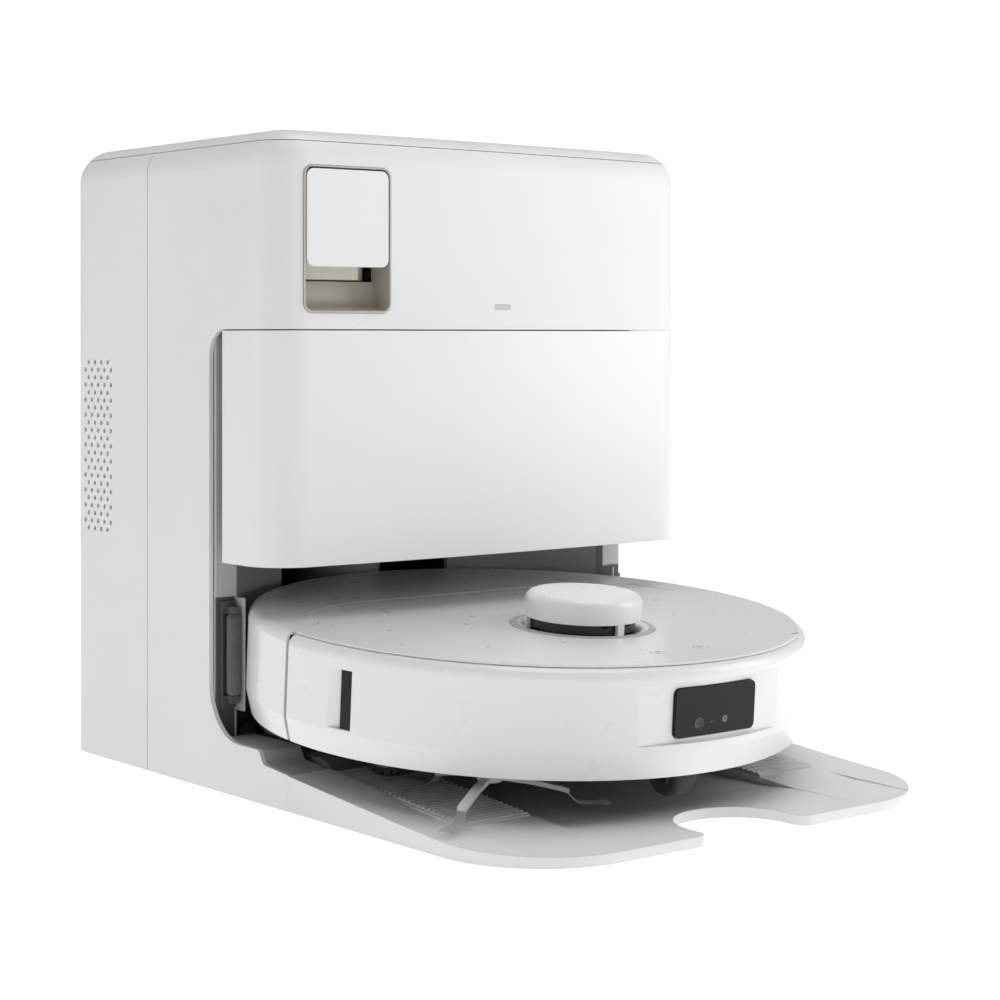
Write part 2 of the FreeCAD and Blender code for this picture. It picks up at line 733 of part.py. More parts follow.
def water_tank(label, x, cap_radius):
    """A lift-out tank: thin walls, a grip across the top and a filler cap."""
    y, z = (80, 228), (199, 388)
    shell = rounded(label + "_shell", box(label + "_block", x, y, z), 12, upright)
    room = box(label + "_room", (x[0] + 2.5, x[1] - 2.5), (y[0] + 2.5, y[1] - 2.5), (z[0] + 3, z[1] - 3))
    room = rounded(label + "_room_round", room, 10, upright)
    middle = (x[0] + x[1]) / 2
    neck = rod(label + "_neck", middle, y[0] + 40, 0, cap_radius, (z[1] - 1, z[1] + 3))
    grip_low = box(label + "_grip_bar", (middle - 40, middle + 40), (y[1] - 50, y[1] - 40), (z[1] - 1, z[1] + 6))
    grip_gap = box(label + "_grip_gap", (middle - 28, middle + 28), (y[1] - 52, y[1] - 38), (z[1], z[1] + 3.5))
    grip = cut(label + "_grip", grip_low, grip_gap)
    node(fuse(label + "_whole", cut(label + "_hollow", shell, room), neck, grip), label)


def detergent_cartridge():
    """Pull-out cartridge: the pad on the front, the ledge under it for the fingers, and a bottle."""
    x = (-pad_half, pad_half)
    pad = box("cartridge_pad", x, (-0.4, 7.6), (D["pad_low"], D["pad_high"]))
    pad = rounded("cartridge_pad_round", pad, 5, along_y)
    stem = box("cartridge_stem", (x[0] + 1, x[1] - 1), (7, 24), (D["pad_low"] + 6, D["pad_high"] - 1))
    ledge = slab(
        "cartridge_ledge", [(x[0] + 1, 8), (x[1] - 17, 8), (x[1] - 8, 24), (x[0] + 1, 24)],
        (D["recess_low"] + 20.4, D["pad_low"] + 7),
    )
    bottle = box(
        "cartridge_bottle", (x[0] + 1.5, x[1] - 1.5), (23, 72), (D["recess_low"] + 20.4, D["pad_high"] - 1.5)
    )
    bottle = rounded("cartridge_bottle_round", bottle, 6, upright)
    whole = fuse("cartridge_whole", pad, stem, ledge, bottle)
    node(on_face("cartridge_turned", whole), "detergent_cartridge")


def recess_bezel():
    """Rim round the cartridge opening, with the scooped floor that the fingers reach into."""
    edge = D["bezel_wide"]
    x = (-pad_half - edge, pad_half + edge)
    z = (D["recess_low"], D["pad_high"] + edge)
    rim = rounded("bezel_round", box("bezel_block", x, (-0.4, 21), z), 6, along_y)
    room = box("bezel_room", (x[0] + 1.0, x[1] - 1.0), (-3, 30), (z[0] + 1.2, z[1] - 1.0))
    room = rounded("bezel_room_round", room, 5.2, along_y)
    scoop = [
        (1.5, z[0] + 0.8), (1.5, z[0] + 1.4), (17.5, z[0] + 4.5), (19.5, z[0] + 19.6),
        (21, z[0] + 19.6), (21, z[0] + 0.8),
    ]
    floor = slab("bezel_scoop", scoop, (x[0] + 0.8, x[1] - 0.8), {2: 7}, "YZ_Plane")
    keep = rounded("bezel_keep_round", box("bezel_keep", x, (-0.4, 22), z), 6, along_y)
    floor = common("bezel_floor", floor, keep)
    whole = fuse("bezel_whole", cut("bezel_rim", rim, room), floor)
    node(on_face("bezel_turned", whole), "recess_bezel")


def status_lamp():
    """Light pipe of the front lamp: a flat pill through the casing."""
    pill = box("lamp_body", (-4.4, 9.2), (D["face_y"] - 0.05, D["face_y"] + 6), (297.4, 300.6))
    node(rounded("lamp_round", pill, 1.5, along_y), "status_lamp")


def dust_bag():
    """Soft bag, as the space that it fills behind the front panel."""
    bag = box("bag_block", (-62, 62), (12, 66), (152, 268))
    node(rounded("bag_round", bag, 14, lambda edge: True), "dust_bag")


def suction_motor():
    """Station blower: a drum with an inlet ring and cooling fins."""
    drum = rod("blower_drum", 112, 38, 0, 28, (150, 225))
    fins = [rod("blower_fin_{}".format(n), 112, 38, 0, 30.5, (158 + n * 9, 161 + n * 9)) for n in range(7)]
    nose = taper("blower_nose", 112, 38, 0, (28, 16), (225, 236))
    intake = rod("blower_intake", 112, 38, 0, 11, (215, 240))
    whole = fuse("blower_whole", drum, *fins, nose)
    node(cut("blower_cut", whole, intake), "suction_motor")


def water_pumps():
    """Two small pumps side by side on the bay ceiling."""
    pumps = []
    for n, x in enumerate((35.0, 80.0)):
        can = rod("pump_can_{}".format(n), x, 0, 160, 12, (95, 135), "Y")
        head = box("pump_head_{}".format(n), (x - 13, x + 13), (134, 152), (147, 173))
        spout = rod("pump_spout_{}".format(n), x, 143, 0, 3.5, (172, 186))
        pumps.append(fuse("pump_{}".format(n), can, head, spout))
    node(group("pump_pair", pumps), "water_pumps")


def power_inlet():
    """Two-pin mains inlet, recessed in the rear casing."""
    block = box("inlet_block", (94, 130), (218, rear_y - 1.0), (25, 51))
    socket = box("inlet_socket", (100, 124), (226, rear_y + 1), (31, 45))
    socket = rounded("inlet_socket_round", socket, 5, along_y)
    pins = [rod("inlet_pin_{}".format(n), x, 0, 38, 1.2, (224, 238), "Y") for n, x in enumerate((107.7, 116.3))]
    node(fuse("inlet_whole", cut("inlet_hollow", block, socket), *pins), "power_inlet")


def dock_contacts():
    """Two charging contacts on the bay's wall, facing the robot's pads."""
    tips = []
    for word, side in (("a", -1), ("b", 1)):
        tip = radial_block("contact_" + word, contact_turn * side, 8, (58.5, 67.5), (176.6, 183.5))
        tips.append(moved("contact_set_" + word, tip, 0, D["bay_centre"], 0))
    node(group("contact_pair", tips), "dock_contacts")


def guide_roller(label, side):
    """Upright roller at the mouth of the bay, which centres the robot."""
    x, y = roller_x * side, roller_y
    wheel = rod(label + "_wheel", x, y, 0, 4.2, (60, 106))
    ends = [taper(label + "_end_{}".format(n), x, y, 0, r, s)
            for n, (r, s) in enumerate((((3.0, 4.2), (58, 60)), ((4.2, 3.0), (106, 108))))]
    bore = rod(label + "_bore", x, y, 0, 1.55, (50, 120))
    node(cut(label + "_cut", fuse(label + "_whole", wheel, *ends), bore), label)


def rubber_feet():
    """Six anti-slip feet let into the underside."""
    feet = [
        taper("foot_{}".format(n), x, y, 0, (foot_radius - 0.6, foot_radius - 0.1), (0, foot_high))
        for n, (x, y) in enumerate(foot_spots)
    ]
    node(group("feet_set", feet), "rubber_feet")


def station_screws():
    """Cross-head screws that hold the rear casing."""
    screws = []
    for n, (x, z) in enumerate(screw_spots):
        head = taper("screw_head_{}".format(n), x, 0, z, (2.4, screw_radius), (rear_y - 0.8, rear_y - 0.05), "Y")
        stem = rod("screw_stem_{}".format(n), x, 0, z, 1.5, (rear_y - 8, rear_y - 0.7), "Y")
        slots = [box("screw_{}_slot_{}".format(n, k), (x - a, x + a), (rear_y - 0.5, rear_y + 1), (z - b, z + b))
                 for k, (a, b) in enumerate(((1.8, 0.3), (0.3, 1.8)))]
        screws.append(cut("screw_{}".format(n), fuse("screw_{}_whole".format(n), head, stem), *slots))
    node(group("screw_set", screws), "station_screws")


bay_liner()
bay_back()
dust_duct()
inner_frame()
water_tank("clean_water_tank", (-156.0, -3.0), 14)
water_tank("dirty_water_tank", (3.0, 156.0), 20)
detergent_cartridge()
recess_bezel()
status_lamp()
dust_bag()
suction_motor()
water_pumps()
power_inlet()
dock_contacts()
mirrored_pair("guide_roller", guide_roller)
rubber_feet()
station_screws()


# ---------------------------------------------------------------- robot: body

low, high = D["body_low"], D["body_high"]
radius, wall = D["body_radius"], D["shell_wall"]
deck_high = 83.6
pivot_y, pivot_z = 18.0, 46.0
lip_top = D["plate_low"] - 0.3


def half_plane(name, y_span):
    """A wide block that keeps or removes one side of the body."""
    wide = radius + 10
    return box(name, (-wide, wide), y_span, (0, 130))


def plate_outline(inset):
    """Plan of the top plate: a disc in front, and two shoulders and a shallow curve behind."""
    reach = D["plate_radius"] - inset
    tip_x, shoulder_y = 141.0 - inset, 24.0
    points = [
        (-reach - 5, -reach - 5), (reach + 5, -reach - 5), (reach + 5, 4 - inset),
        (tip_x, shoulder_y - inset), (tip_x - 4, 50 - inset), (96, D["plate_rear"] - inset),
        (-96, D["plate_rear"] - inset), (4 - tip_x, 50 - inset), (-tip_x, shoulder_y - inset),
        (-reach - 5, 4 - inset),
    ]
    return points, {3: 14, 4: 16, 5: 70, 6: 70, 7: 16, 8: 14}


def plate_form(name, inset, span):
    """A slice of the top plate's plan, from span's low to its high end."""
    points, rounds = plate_outline(inset)
    plan = slab(name + "_plan", points, span, rounds)
    disc = rod(name + "_disc", 0, 0, 0, D["plate_radius"] - inset, span)
    return common(name, plan, disc)


def side_profile(inset):
    """Wall profile shared by bumper and rear shell: crease below, round shoulder above."""
    return [
        (radius - 3.6 - inset, low), (radius - inset, D["crease_high"]),
        (radius - inset, lip_top - inset),
    ]


def bumper():
    """Front half of the robot's side: a sprung shell whose lip runs under the top plate."""
    outer, inner = side_profile(0), side_profile(wall)
    points = outer + [
        (D["inner_radius"] + 3.6, lip_top), (D["inner_radius"] + 3.6, lip_top - 2),
        (inner[2][0], lip_top - 2), inner[1], inner[0],
    ]
    ring = turned("bumper_ring", points, {2: 6.5})
    keep = half_plane("bumper_keep", (-radius - 10, D["split_y"] - D["bumper_gap"]))
    shell = common("bumper_shell", ring, keep)
    # The front window stands in a flattened scoop, on a thickened patch of wall.
    patch = common(
        "window_patch", box("patch_block", (-62, 62), (-radius, -166), (38.5, 77.5)),
        rod("patch_limit", 0, 0, 0, radius - 1, (30, 80)),
    )
    flat_reach = 311
    scoop = cut(
        "window_scoop", box("scoop_room", (-66, 66), (-radius - 8, -155), (40.5, 75.5)),
        rod("scoop_core", 0, flat_reach - 171, 0, flat_reach, (30, 90)),
    )
    pocket = box("window_pocket", (-31.6, 31.6), (-radius - 5, -160), (43.0, 72.0))
    pocket = rounded("window_pocket_round", pocket, 4, along_y)
    frames, slots = [], []
    for word, side in (("a", -1), ("b", 1)):
        turn = sensor_turn * side
        frames.append(radial_block("sensor_frame_" + word, turn, 12, (34.8, 75.2), (168.2, 173.4)))
        slots.append(radial_block("sensor_slot_" + word, turn, 4.7, (37.8, 72.2), (155, 181), -4.7 * side))
        # Behind the window, the slot's rear half slopes out to the surface.
        ends = [(9.4 * side, -175.4), (-0.3 * side, -171.2), (-0.3 * side, -181), (9.4 * side, -181)]
        wedge = slab("sensor_slope_" + word, ends, (37.8, 72.2))
        slots.append(place(wedge, 0, 0, 0, FreeCAD.Rotation(Z_AXIS, turn)))
    whole = fuse("bumper_whole", shell, patch, *frames)
    node(cut("bumper_cut", whole, scoop, pocket, *slots), "bumper", "robot")


def wall_sensor_windows():
    """Dark windows of the two side distance sensors, one in each flank of the bumper."""
    panes = [radial_block("pane_" + word, sensor_turn * side, 4.65, (37.85, 72.15), (170.0, 173.2), -4.7 * side)
             for word, side in (("a", -1), ("b", 1))]
    node(group("pane_pair", panes), "wall_sensor_windows", "robot")


def front_window():
    """Black glass over the front camera and its lamps."""
    glass = box("glass_block", (-31.3, 31.3), (-171.6, -168.6), (43.3, 71.7))
    node(rounded("glass_round", glass, 3.7, along_y), "front_window", "robot")


def camera_module():
    """Camera block behind the glass, with its lens barrel and two lamps."""
    block = box("camera_block", (-28, 28), (-167.6, -165.8), (46, 69))
    parts = [block]
    for n, (x, size) in enumerate(((-9.0, 4.6), (2.0, 2.2), (12.0, 2.8))):
        parts.append(rod("camera_lens_{}".format(n), x, 0, 53, size, (-168.4, -167.5), "Y"))
    node(fuse("camera_whole", *parts), "camera_module", "robot")


def rear_shell():
    """Back half of the robot's side with the flush rim round the top plate, and the inner deck."""
    outer, inner = side_profile(0), side_profile(wall)
    points = outer[:2] + [(radius, high), (1, high), (1, high - wall), (radius - wall, high - wall)]
    points += [inner[1], inner[0]]
    hood = turned("rear_hood", points, {2: 6.5})
    keep = half_plane("rear_keep_half", (D["split_y"], radius + 10))
    back = common("rear_back", hood, keep)
    recess = plate_form("rear_recess", -0.5, (D["plate_low"] - 0.5, high + 3))
    opened = cut("rear_opened", back, recess)
    deck = rod("deck_disc", 0, 0, 0, D["inner_radius"], (deck_high - 2.4, deck_high))
    skirt = rod("deck_skirt", 0, 0, 0, D["inner_radius"], (46, deck_high - 1))
    skirt_room = rod("deck_room", 0, 0, 0, D["inner_radius"] - 2, (40, deck_high - 2.4))
    upper = fuse("rear_upper", opened, deck, cut("deck_wall", skirt, skirt_room))
    turret = rod("deck_turret_hole", 0, D["lidar_y"], 0, 41, (70, 95))
    bin_hole = box("deck_bin_hole", (-72, 72), (-4, 66), (70, 95))
    bin_hole = rounded("deck_bin_round", bin_hole, 10, upright)
    keys = [rod("deck_key_{}".format(n), x, -139, 0, 4.6, (70, 95)) for n, x in enumerate((-17.0, 17.0))]
    port = box("rear_port", (-30, 30), (160, 180), (40, 62))
    port = rounded("rear_port_round", port, 5, along_y)
    pads = [radial_block("rear_pad_" + word, contact_turn * side, 10, (26, 36), (160, 181))
            for word, side in (("a", -1), ("b", 1))]
    whole = cut("rear_cut_all", upper, turret, bin_hole, *keys, port, *pads)
    node(whole, "rear_shell", "robot")


def wheel_well(name, side, spare, z):
    """Room for one drive wheel and its arm, grown by spare for the well's own walls."""
    x = both(D["wheel_x"] - 15 - spare, D["wheel_x"] + 17 + spare, side)
    reach = D["wheel_radius"] + 5 + spare
    return box(name, x, (D["wheel_y"] - reach, D["wheel_y"] + reach), z)


def chassis():
    """Bottom tray: floor plate, rim wall, and the openings for everything that reaches the ground."""
    floor_top = low + 2.8
    floor = rod("chassis_floor", 0, 0, 0, D["inner_radius"] + 2.5, (low, floor_top))
    rim = rod("chassis_rim", 0, 0, 0, D["inner_radius"], (low, 45.5))
    rim_room = rod("chassis_room", 0, 0, 0, D["inner_radius"] - 2, (floor_top, 60))
    walls = cut("chassis_wall", rim, rim_room)
    roller_x = D["roller_half"] + 9
    roller_y = D["roller_y"]
    hood = box("roller_hood", (-roller_x, roller_x), (roller_y - 26, roller_y + 26), (low, 50))
    hood_room = box(
        "roller_room", (2.2 - roller_x, roller_x - 2.2), (roller_y - 23.6, roller_y + 23.6), (0, 47.6)
    )
    caster_cup = rod("caster_cup", 0, D["caster_y"], 0, D["caster_plate"] + 2.2, (low, 52))
    caster_room = rod("caster_room", 0, D["caster_y"], 0, D["caster_plate"] + 0.6, (0, 49.6))
    caster_pin = rod("caster_pin_hole", 0, D["caster_y"], 0, 3.05, (40, 60))
    holes = [hood_room, caster_room, caster_pin]
    holes.append(rod("brush_hole", D["brush_x"], D["brush_y"], 0, 9, (0, 30)))
    wells = []
    for n, side in enumerate((-1, 1)):
        wells.append(wheel_well("well_box_{}".format(n), side, 2.0, (low, 54)))
        holes.append(wheel_well("floor_well_{}".format(n), side, 0.0, (0, 79.5)))
        pin_span = both(D["wheel_x"] - 18, D["wheel_x"] + 20, side)
        holes.append(rod("well_pin_{}".format(n), 0, pivot_y, pivot_z, 2.55, pin_span, "X"))
        holes.append(rod("mop_hole_{}".format(n), D["mop_x"] * side, D["mop_y"], 0, 17.5, (0, 30)))
    for n, (x, y) in enumerate(((-150.0, -40.0), (150.0, -40.0), (-52.0, -147.0), (52.0, -147.0))):
        holes.append(box("cliff_hole_{}".format(n), (x - 8, x + 8), (y - 5, y + 5), (0, 30)))
    inlet = box("chassis_outlet", (-30, 30), (150, 170), (40, 62))
    whole = fuse("chassis_whole", floor, walls, hood, caster_cup, *wells)
    node(cut("chassis_cut", whole, *holes, inlet), "chassis", "robot")


def cover_plate():
    """Lift-off top plate, with the opening for the turret and holes for the two keys."""
    skin = plate_form("plate_skin", 0, (D["plate_low"], high))
    skin = rounded("plate_soft", skin, 0.9, level_at(high.value))
    turret = rod("plate_turret_hole", 0, D["lidar_y"], 0, D["lidar_ring"] + 0.3, (80, 95))
    keys = [rod("plate_key_{}".format(n), x, -139, 0, 4.7, (80, 95)) for n, x in enumerate((-17.0, 17.0))]
    notch = rod("plate_notch", 107.5, -134, 0, 6.5, (80, 95))
    node(cut("plate_cut", skin, turret, *keys, notch), "cover_plate", "robot")


def lidar_ring():
    """Metallic ring round the foot of the turret, on a sleeve that rises from the deck."""
    y = D["lidar_y"]
    flange = rod("ring_flange", 0, y, 0, D["lidar_ring"], (high - 1.2, high + 0.5))
    flange = rounded("ring_soft", flange, 0.45, level_at(high.value + 0.5))
    sleeve = rod("ring_sleeve", 0, y, 0, 40.8, (deck_high - 2.2, high))
    dish = taper("ring_dish", 0, y, 0, (32.5, 41), (high - 2.5, high + 0.6))
    bore = rod("ring_bore", 0, y, 0, 32.5, (70, 95))
    node(cut("ring_cut", fuse("ring_whole", flange, sleeve), dish, bore), "lidar_ring", "robot")


def lidar_base():
    """Fixed floor of the turret, with the spindle that the scanner turns on."""
    y = D["lidar_y"]
    plate = rod("base_disc", 0, y, 0, 32.3, (80.0, 84.0))
    drum = rod("base_drum", 0, y, 0, 26, (62, 81))
    room = rod("base_room", 0, y, 0, 23.5, (61, 79))
    spindle = rod("base_spindle", 0, y, 0, 3.0, (78, 97))
    node(cut("lidar_base_cut", fuse("lidar_base_whole", plate, drum, spindle), room), "lidar_base", "robot")


def lidar_cap():
    """White cap of the turret on its pillars, which stand on the ring's dish."""
    y, top = D["lidar_y"], D["lidar_high"]
    reach = D["lidar_cap"]
    cap = rod("cap_disc", 0, y, 0, reach, (top - 15, top))
    cap = rounded("cap_soft", cap, 5.5, level_at(top.value))
    room = rod("cap_room", 0, y, 0, reach - 2, (top - 16, top - 2.4))
    pillars = []
    for n, turn in enumerate((30.0, 150.0, 270.0)):
        at_x = 34.0 * math.cos(math.radians(turn))
        at_y = DRIVING["lidar_y"] + 34.0 * math.sin(math.radians(turn))
        pillar = sized("Box", "cap_pillar_{}".format(n), Length=2.6, Width=5.0, Height=top - 10 - 84.6)
        spin = FreeCAD.Rotation(Z_AXIS, turn)
        corner = spin.multVec(V(-1.3, -2.5, 0))
        place(pillar, at_x + corner.x, at_y + corner.y, 84.6, spin)
        pillars.append(pillar)
    node(fuse("cap_whole", cut("cap_hollow", cap, room), *pillars), "lidar_cap", "robot")


def lidar_scanner():
    """Spinning scanner: drum with the two optical ports, on its spindle."""
    y = D["lidar_y"]
    drum = rod("scanner_drum", 0, y, 0, 32.2, (85.2, 101.0))
    skirt = rod("scanner_skirt", 0, y, 0, 31.0, (84.6, 87.0))
    ports = [rod("scanner_port_{}".format(n), x, 0, 94, 4.2, (y - 40, y - 25), "Y")
             for n, x in enumerate((-9.0, 9.0))]
    bore = rod("scanner_bore", 0, y, 0, 3.05, (80, 98))
    node(cut("scanner_cut", fuse("scanner_whole", drum, skirt), bore, *ports), "lidar_scanner", "robot")


def key_button(label, side):
    """Small round key on the deck, standing flush through the top plate."""
    x = 17.0 * side
    cap = rod(label + "_cap", x, -139, 0, 4.3, (deck_high - 3, high + 0.3))
    cap = rounded(label + "_soft", cap, 0.4, level_at(high.value + 0.3))
    collar = rod(label + "_collar", x, -139, 0, 6.2, (deck_high - 5, deck_high - 2.9))
    node(fuse(label + "_whole", cap, collar), label, "robot")


bumper()
wall_sensor_windows()
front_window()
camera_module()
rear_shell()
chassis()
cover_plate()
lidar_ring()
lidar_base()
lidar_cap()
lidar_scanner()
key_button("home_key", -1)
key_button("power_key", 1)


# ---------------------------------------------------------------- robot: running gear

def gearbox_arm(label, side):
    """Trailing arm with the gearbox and motor of one drive wheel, hung on a cross pin."""
    inner_x = both(D["wheel_x"] - 13.5, D["wheel_x"] - 11.7, side)
    plate = [(D["wheel_y"] - 14, 24), (D["wheel_y"] + 12, 24), (pivot_y + 6, pivot_z - 6),
             (pivot_y + 6, pivot_z + 6), (D["wheel_y"] + 8, 56), (D["wheel_y"] - 14, 52)]
    arm = slab(label + "_plate", plate, inner_x, {0: 6, 1: 6, 4: 6, 5: 6}, role="YZ_Plane")
    pin = rod(label + "_pin", 0, pivot_y, pivot_z, 2.5,
              both(D["wheel_x"] - 16.6, D["wheel_x"] + 18.6, side), "X")
    boss = rod(label + "_boss", 0, pivot_y, pivot_z, 5.5, both(D["wheel_x"] - 13.5, D["wheel_x"] + 14, side), "X")
    axle = rod(label + "_axle", 0, D["wheel_y"], D["wheel_radius"], 2.95,
               both(D["wheel_x"] - 12, D["wheel_x"] + 12.6, side), "X")
    gap = rod(label + "_gap", 0, D["wheel_y"], D["wheel_radius"], D["wheel_radius"] + 0.8,
              both(D["wheel_x"] - 11.6, D["wheel_x"] + 13, side), "X")
    body = cut(label + "_body", fuse(label + "_frame", arm, boss, pin), gap)
    node(fuse(label + "_whole", body, axle), label, "robot")


def drive_wheel(label, side):
    """One drive wheel: treaded tyre bonded to its rim, web with openings, and the axle's bearing."""
    y, z = D["wheel_y"], D["wheel_radius"]
    half = D["wheel_wide"] / 2 - 0.5
    span = both(D["wheel_x"] - half, D["wheel_x"] + half, side)
    drum = rod(label + "_drum", 0, y, z, D["wheel_radius"], span, "X")
    grooves = []
    for n in range(24):
        groove = sized("Box", "{}_groove_{}".format(label, n), Length=30, Width=2.6, Height=4)
        spin = FreeCAD.Rotation(X_AXIS, 15.0 * n + 7.5)
        offset = spin.multVec(V(0, -1.3, DRIVING["wheel_radius"] - 2.2))
        grooves.append(place(groove, span[0] - 4, y + offset.y, z + offset.z, spin))
    dish = rod(label + "_dish", 0, y, z, 24, both(D["wheel_x"] + 5, D["wheel_x"] + 12, side), "X")
    hub = rod(label + "_hub", 0, y, z, 8, both(D["wheel_x"] + 4, D["wheel_x"] + 10, side), "X")
    bore = rod(label + "_bore", 0, y, z, 3.0, both(D["wheel_x"] - 20, D["wheel_x"] + 20, side), "X")
    holes = []
    for n in range(6):
        turn = math.radians(60 * n)
        at_y, at_z = y + 16 * math.cos(turn), z + 16 * math.sin(turn)
        holes.append(rod("{}_hole_{}".format(label, n), 0, at_y, at_z, 4,
                         both(D["wheel_x"] - 20, D["wheel_x"] + 20, side), "X"))
    whole = fuse(label + "_whole", cut(label + "_web", drum, dish), hub)
    node(cut(label + "_cut", whole, bore, *holes, group(label + "_grooves", grooves)), label, "robot")


def caster_fork():
    """Swivelling cup of the front caster: a puck with two cheeks, on an upright pin."""
    y = D["caster_y"]
    puck = rod("fork_puck", 0, y, 0, D["caster_plate"], (19, 42))
    room = box("fork_room", (-8.6, 8.6), (y - 30, y + 30), (0, 37.5))
    pin = rod("fork_pin", 0, y, 0, 3.0, (41, 49))
    axle = rod("fork_axle", 0, y + 2, D["caster_radius"], 2.0, (-12, 12), "X")
    cheeks = [box("fork_cheek_{}".format(n), both(8.8, 12.0, side), (y - 6, y + 10), (D["caster_radius"] - 5, 24))
              for n, side in enumerate((-1, 1))]
    whole = fuse("fork_whole", cut("fork_hollow", puck, room), pin, axle, *cheeks)
    node(whole, "caster_fork", "robot")


def caster_wheel():
    """Small barrel wheel of the front caster."""
    y, z = D["caster_y"] + 2, D["caster_radius"]
    barrel = rod("caster_barrel", 0, y, z, D["caster_radius"], (-8, 8), "X")
    barrel = rounded("caster_soft", barrel, 3.5, lambda e: e.BoundBox.XLength < 1e-3 and e.BoundBox.ZLength > 20)
    bore = rod("caster_bore", 0, y, z, 2.05, (-10, 10), "X")
    node(cut("caster_cut", barrel, bore), "caster_wheel", "robot")


def side_brush():
    """Corner brush: hub with three drooping arms that end in bristles."""
    x, y = D["brush_x"], D["brush_y"]
    hub = taper("brush_hub", x, y, 0, (7, 11), (13.5, 20.6))
    shaft = rod("brush_shaft", x, y, 0, 4.0, (20, 30))
    arms = []
    droop = [(5, 14.2), (24, 11.5), (D["brush_reach"], 6.4), (D["brush_reach"], 9.0), (25, 14.0), (5, 17.0)]
    for n in range(3):
        arm = slab("brush_arm_{}".format(n), droop, (-2.6, 2.6), role="XZ_Plane")
        arms.append(place(arm, x, y, 0, FreeCAD.Rotation(Z_AXIS, 212 + 120 * n)))
    node(fuse("brush_whole", hub, shaft, *arms), "side_brush", "robot")


def main_roller():
    """Rubber roller under the robot: a core with six slanted flaps."""
    y, z = D["roller_y"], D["roller_z"]
    half = D["roller_half"]
    core = rod("roller_core", 0, y, z, 14, (-half, half), "X")
    pin = rod("roller_pin", 0, y, z, 3.0, (-half - 5.5, half + 5.5), "X")
    flaps = []
    for n in range(6):
        flap = sized("Box", "roller_flap_{}".format(n), Length=half * 2 - 4, Width=2.0, Height=8.0)
        spin = FreeCAD.Rotation(X_AXIS, 60.0 * n)
        offset = spin.multVec(V(0, -1.0, 12.6))
        place(flap, 2 - half, y + offset.y, z + offset.z, spin)
        flaps.append(flap)
    node(fuse("roller_whole", core, pin, *flaps), "main_roller", "robot")


def brush_guard():
    """Snap-in frame round the roller's mouth, with the roller's two bearings."""
    y, z, half = D["roller_y"], D["roller_z"], D["roller_half"]
    frame = box("guard_frame", (-half - 6.6, half + 6.6), (y - 23.4, y + 23.4), (low - 1.2, low + 2.4))
    mouth = box("guard_mouth", (-half - 0.55, half + 0.55), (y - 21.4, y + 21.4), (0, 40))
    ends = [box("guard_end_{}".format(n), both(half + 0.6, half + 6.4, side), (y - 8, y + 8), (low, z + 7))
            for n, side in enumerate((-1, 1))]
    bore = rod("guard_bore", 0, y, z, 3.05, (-half - 7, half + 7), "X")
    whole = fuse("guard_whole", cut("guard_ring", frame, mouth), *ends)
    node(cut("guard_cut", whole, bore), "brush_guard", "robot")


def mop_carriage():
    """Bridge that lifts both mops, with their two motors."""
    x, y = D["mop_x"], D["mop_y"]
    bridge = box("carriage_bridge", (-x - 22, x + 22), (y - 12, y + 12), (33, 36))
    cans = []
    for n, side in enumerate((-1, 1)):
        can = rod("carriage_can_{}".format(n), x * side, y, 0, 19, (28, 42))
        bore = rod("carriage_bore_{}".format(n), x * side, y, 0, 4.05, (20, 39))
        cans.append(cut("carriage_motor_{}".format(n), can, bore))
    holes = [rod("carriage_hole_{}".format(n), x * side, y, 0, 4.05, (20, 39)) for n, side in enumerate((-1, 1))]
    node(cut("carriage_cut", fuse("carriage_whole", bridge, *cans), *holes), "mop_carriage", "robot")


def mop_disc(label, side):
    """Carrier disc of one mop, on the shaft that turns it."""
    x, y, foot = D["mop_x"] * side, D["mop_y"], D["mop_low"] + 6.0
    disc = rod(label + "_disc", x, y, 0, D["mop_radius"] - 3, (foot, foot + 3))
    disc = rounded(label + "_soft", disc, 1.4, level_at(foot.value + 3))
    collar = taper(label + "_collar", x, y, 0, (16, 11), (foot + 2.5, foot + 8))
    shaft = rod(label + "_shaft", x, y, 0, 4.0, (foot + 6, 38))
    node(fuse(label + "_whole", disc, collar, shaft), label, "robot")


def mop_pad(label, side):
    """Round microfibre pad, as the space that it fills under its disc."""
    x, y, foot = D["mop_x"] * side, D["mop_y"], D["mop_low"]
    pad = rod(label + "_round", x, y, 0, D["mop_radius"], (foot, foot + 5.9))
    node(rounded(label + "_soft", pad, 2.0, lambda e: e.BoundBox.ZLength < 1e-3), label, "robot")


mirrored_pair("wheel_arm", gearbox_arm)
mirrored_pair("drive_wheel", drive_wheel)
caster_fork()
caster_wheel()
side_brush()
main_roller()
brush_guard()
mop_carriage()
mirrored_pair("mop_disc", mop_disc)
mirrored_pair("mop_pad", mop_pad)


# ---------------------------------------------------------------- robot: inside

def dustbin():
    """Dust box that sits in the deck under the top plate, with its handle."""
    block = box("bin_block", (-70, 70), (-2.5, 64.5), (52, deck_high - 0.6))
    block = rounded("bin_round", block, 9, upright)
    room = box("bin_room", (-67.8, 67.8), (0, 62), (54.5, deck_high + 5))
    room = rounded("bin_room_round", room, 7, upright)
    lid = box("bin_lid", (-69, 69), (-1.5, 63.5), (deck_high - 2.8, deck_high - 0.8))
    lid = rounded("bin_lid_round", lid, 8, upright)
    dip = box("bin_dip", (-24, 24), (20, 44), (deck_high - 1.9, deck_high + 5))
    node(fuse("bin_whole", cut("bin_hollow", block, room), cut("bin_cover", lid, dip)), "dustbin", "robot")


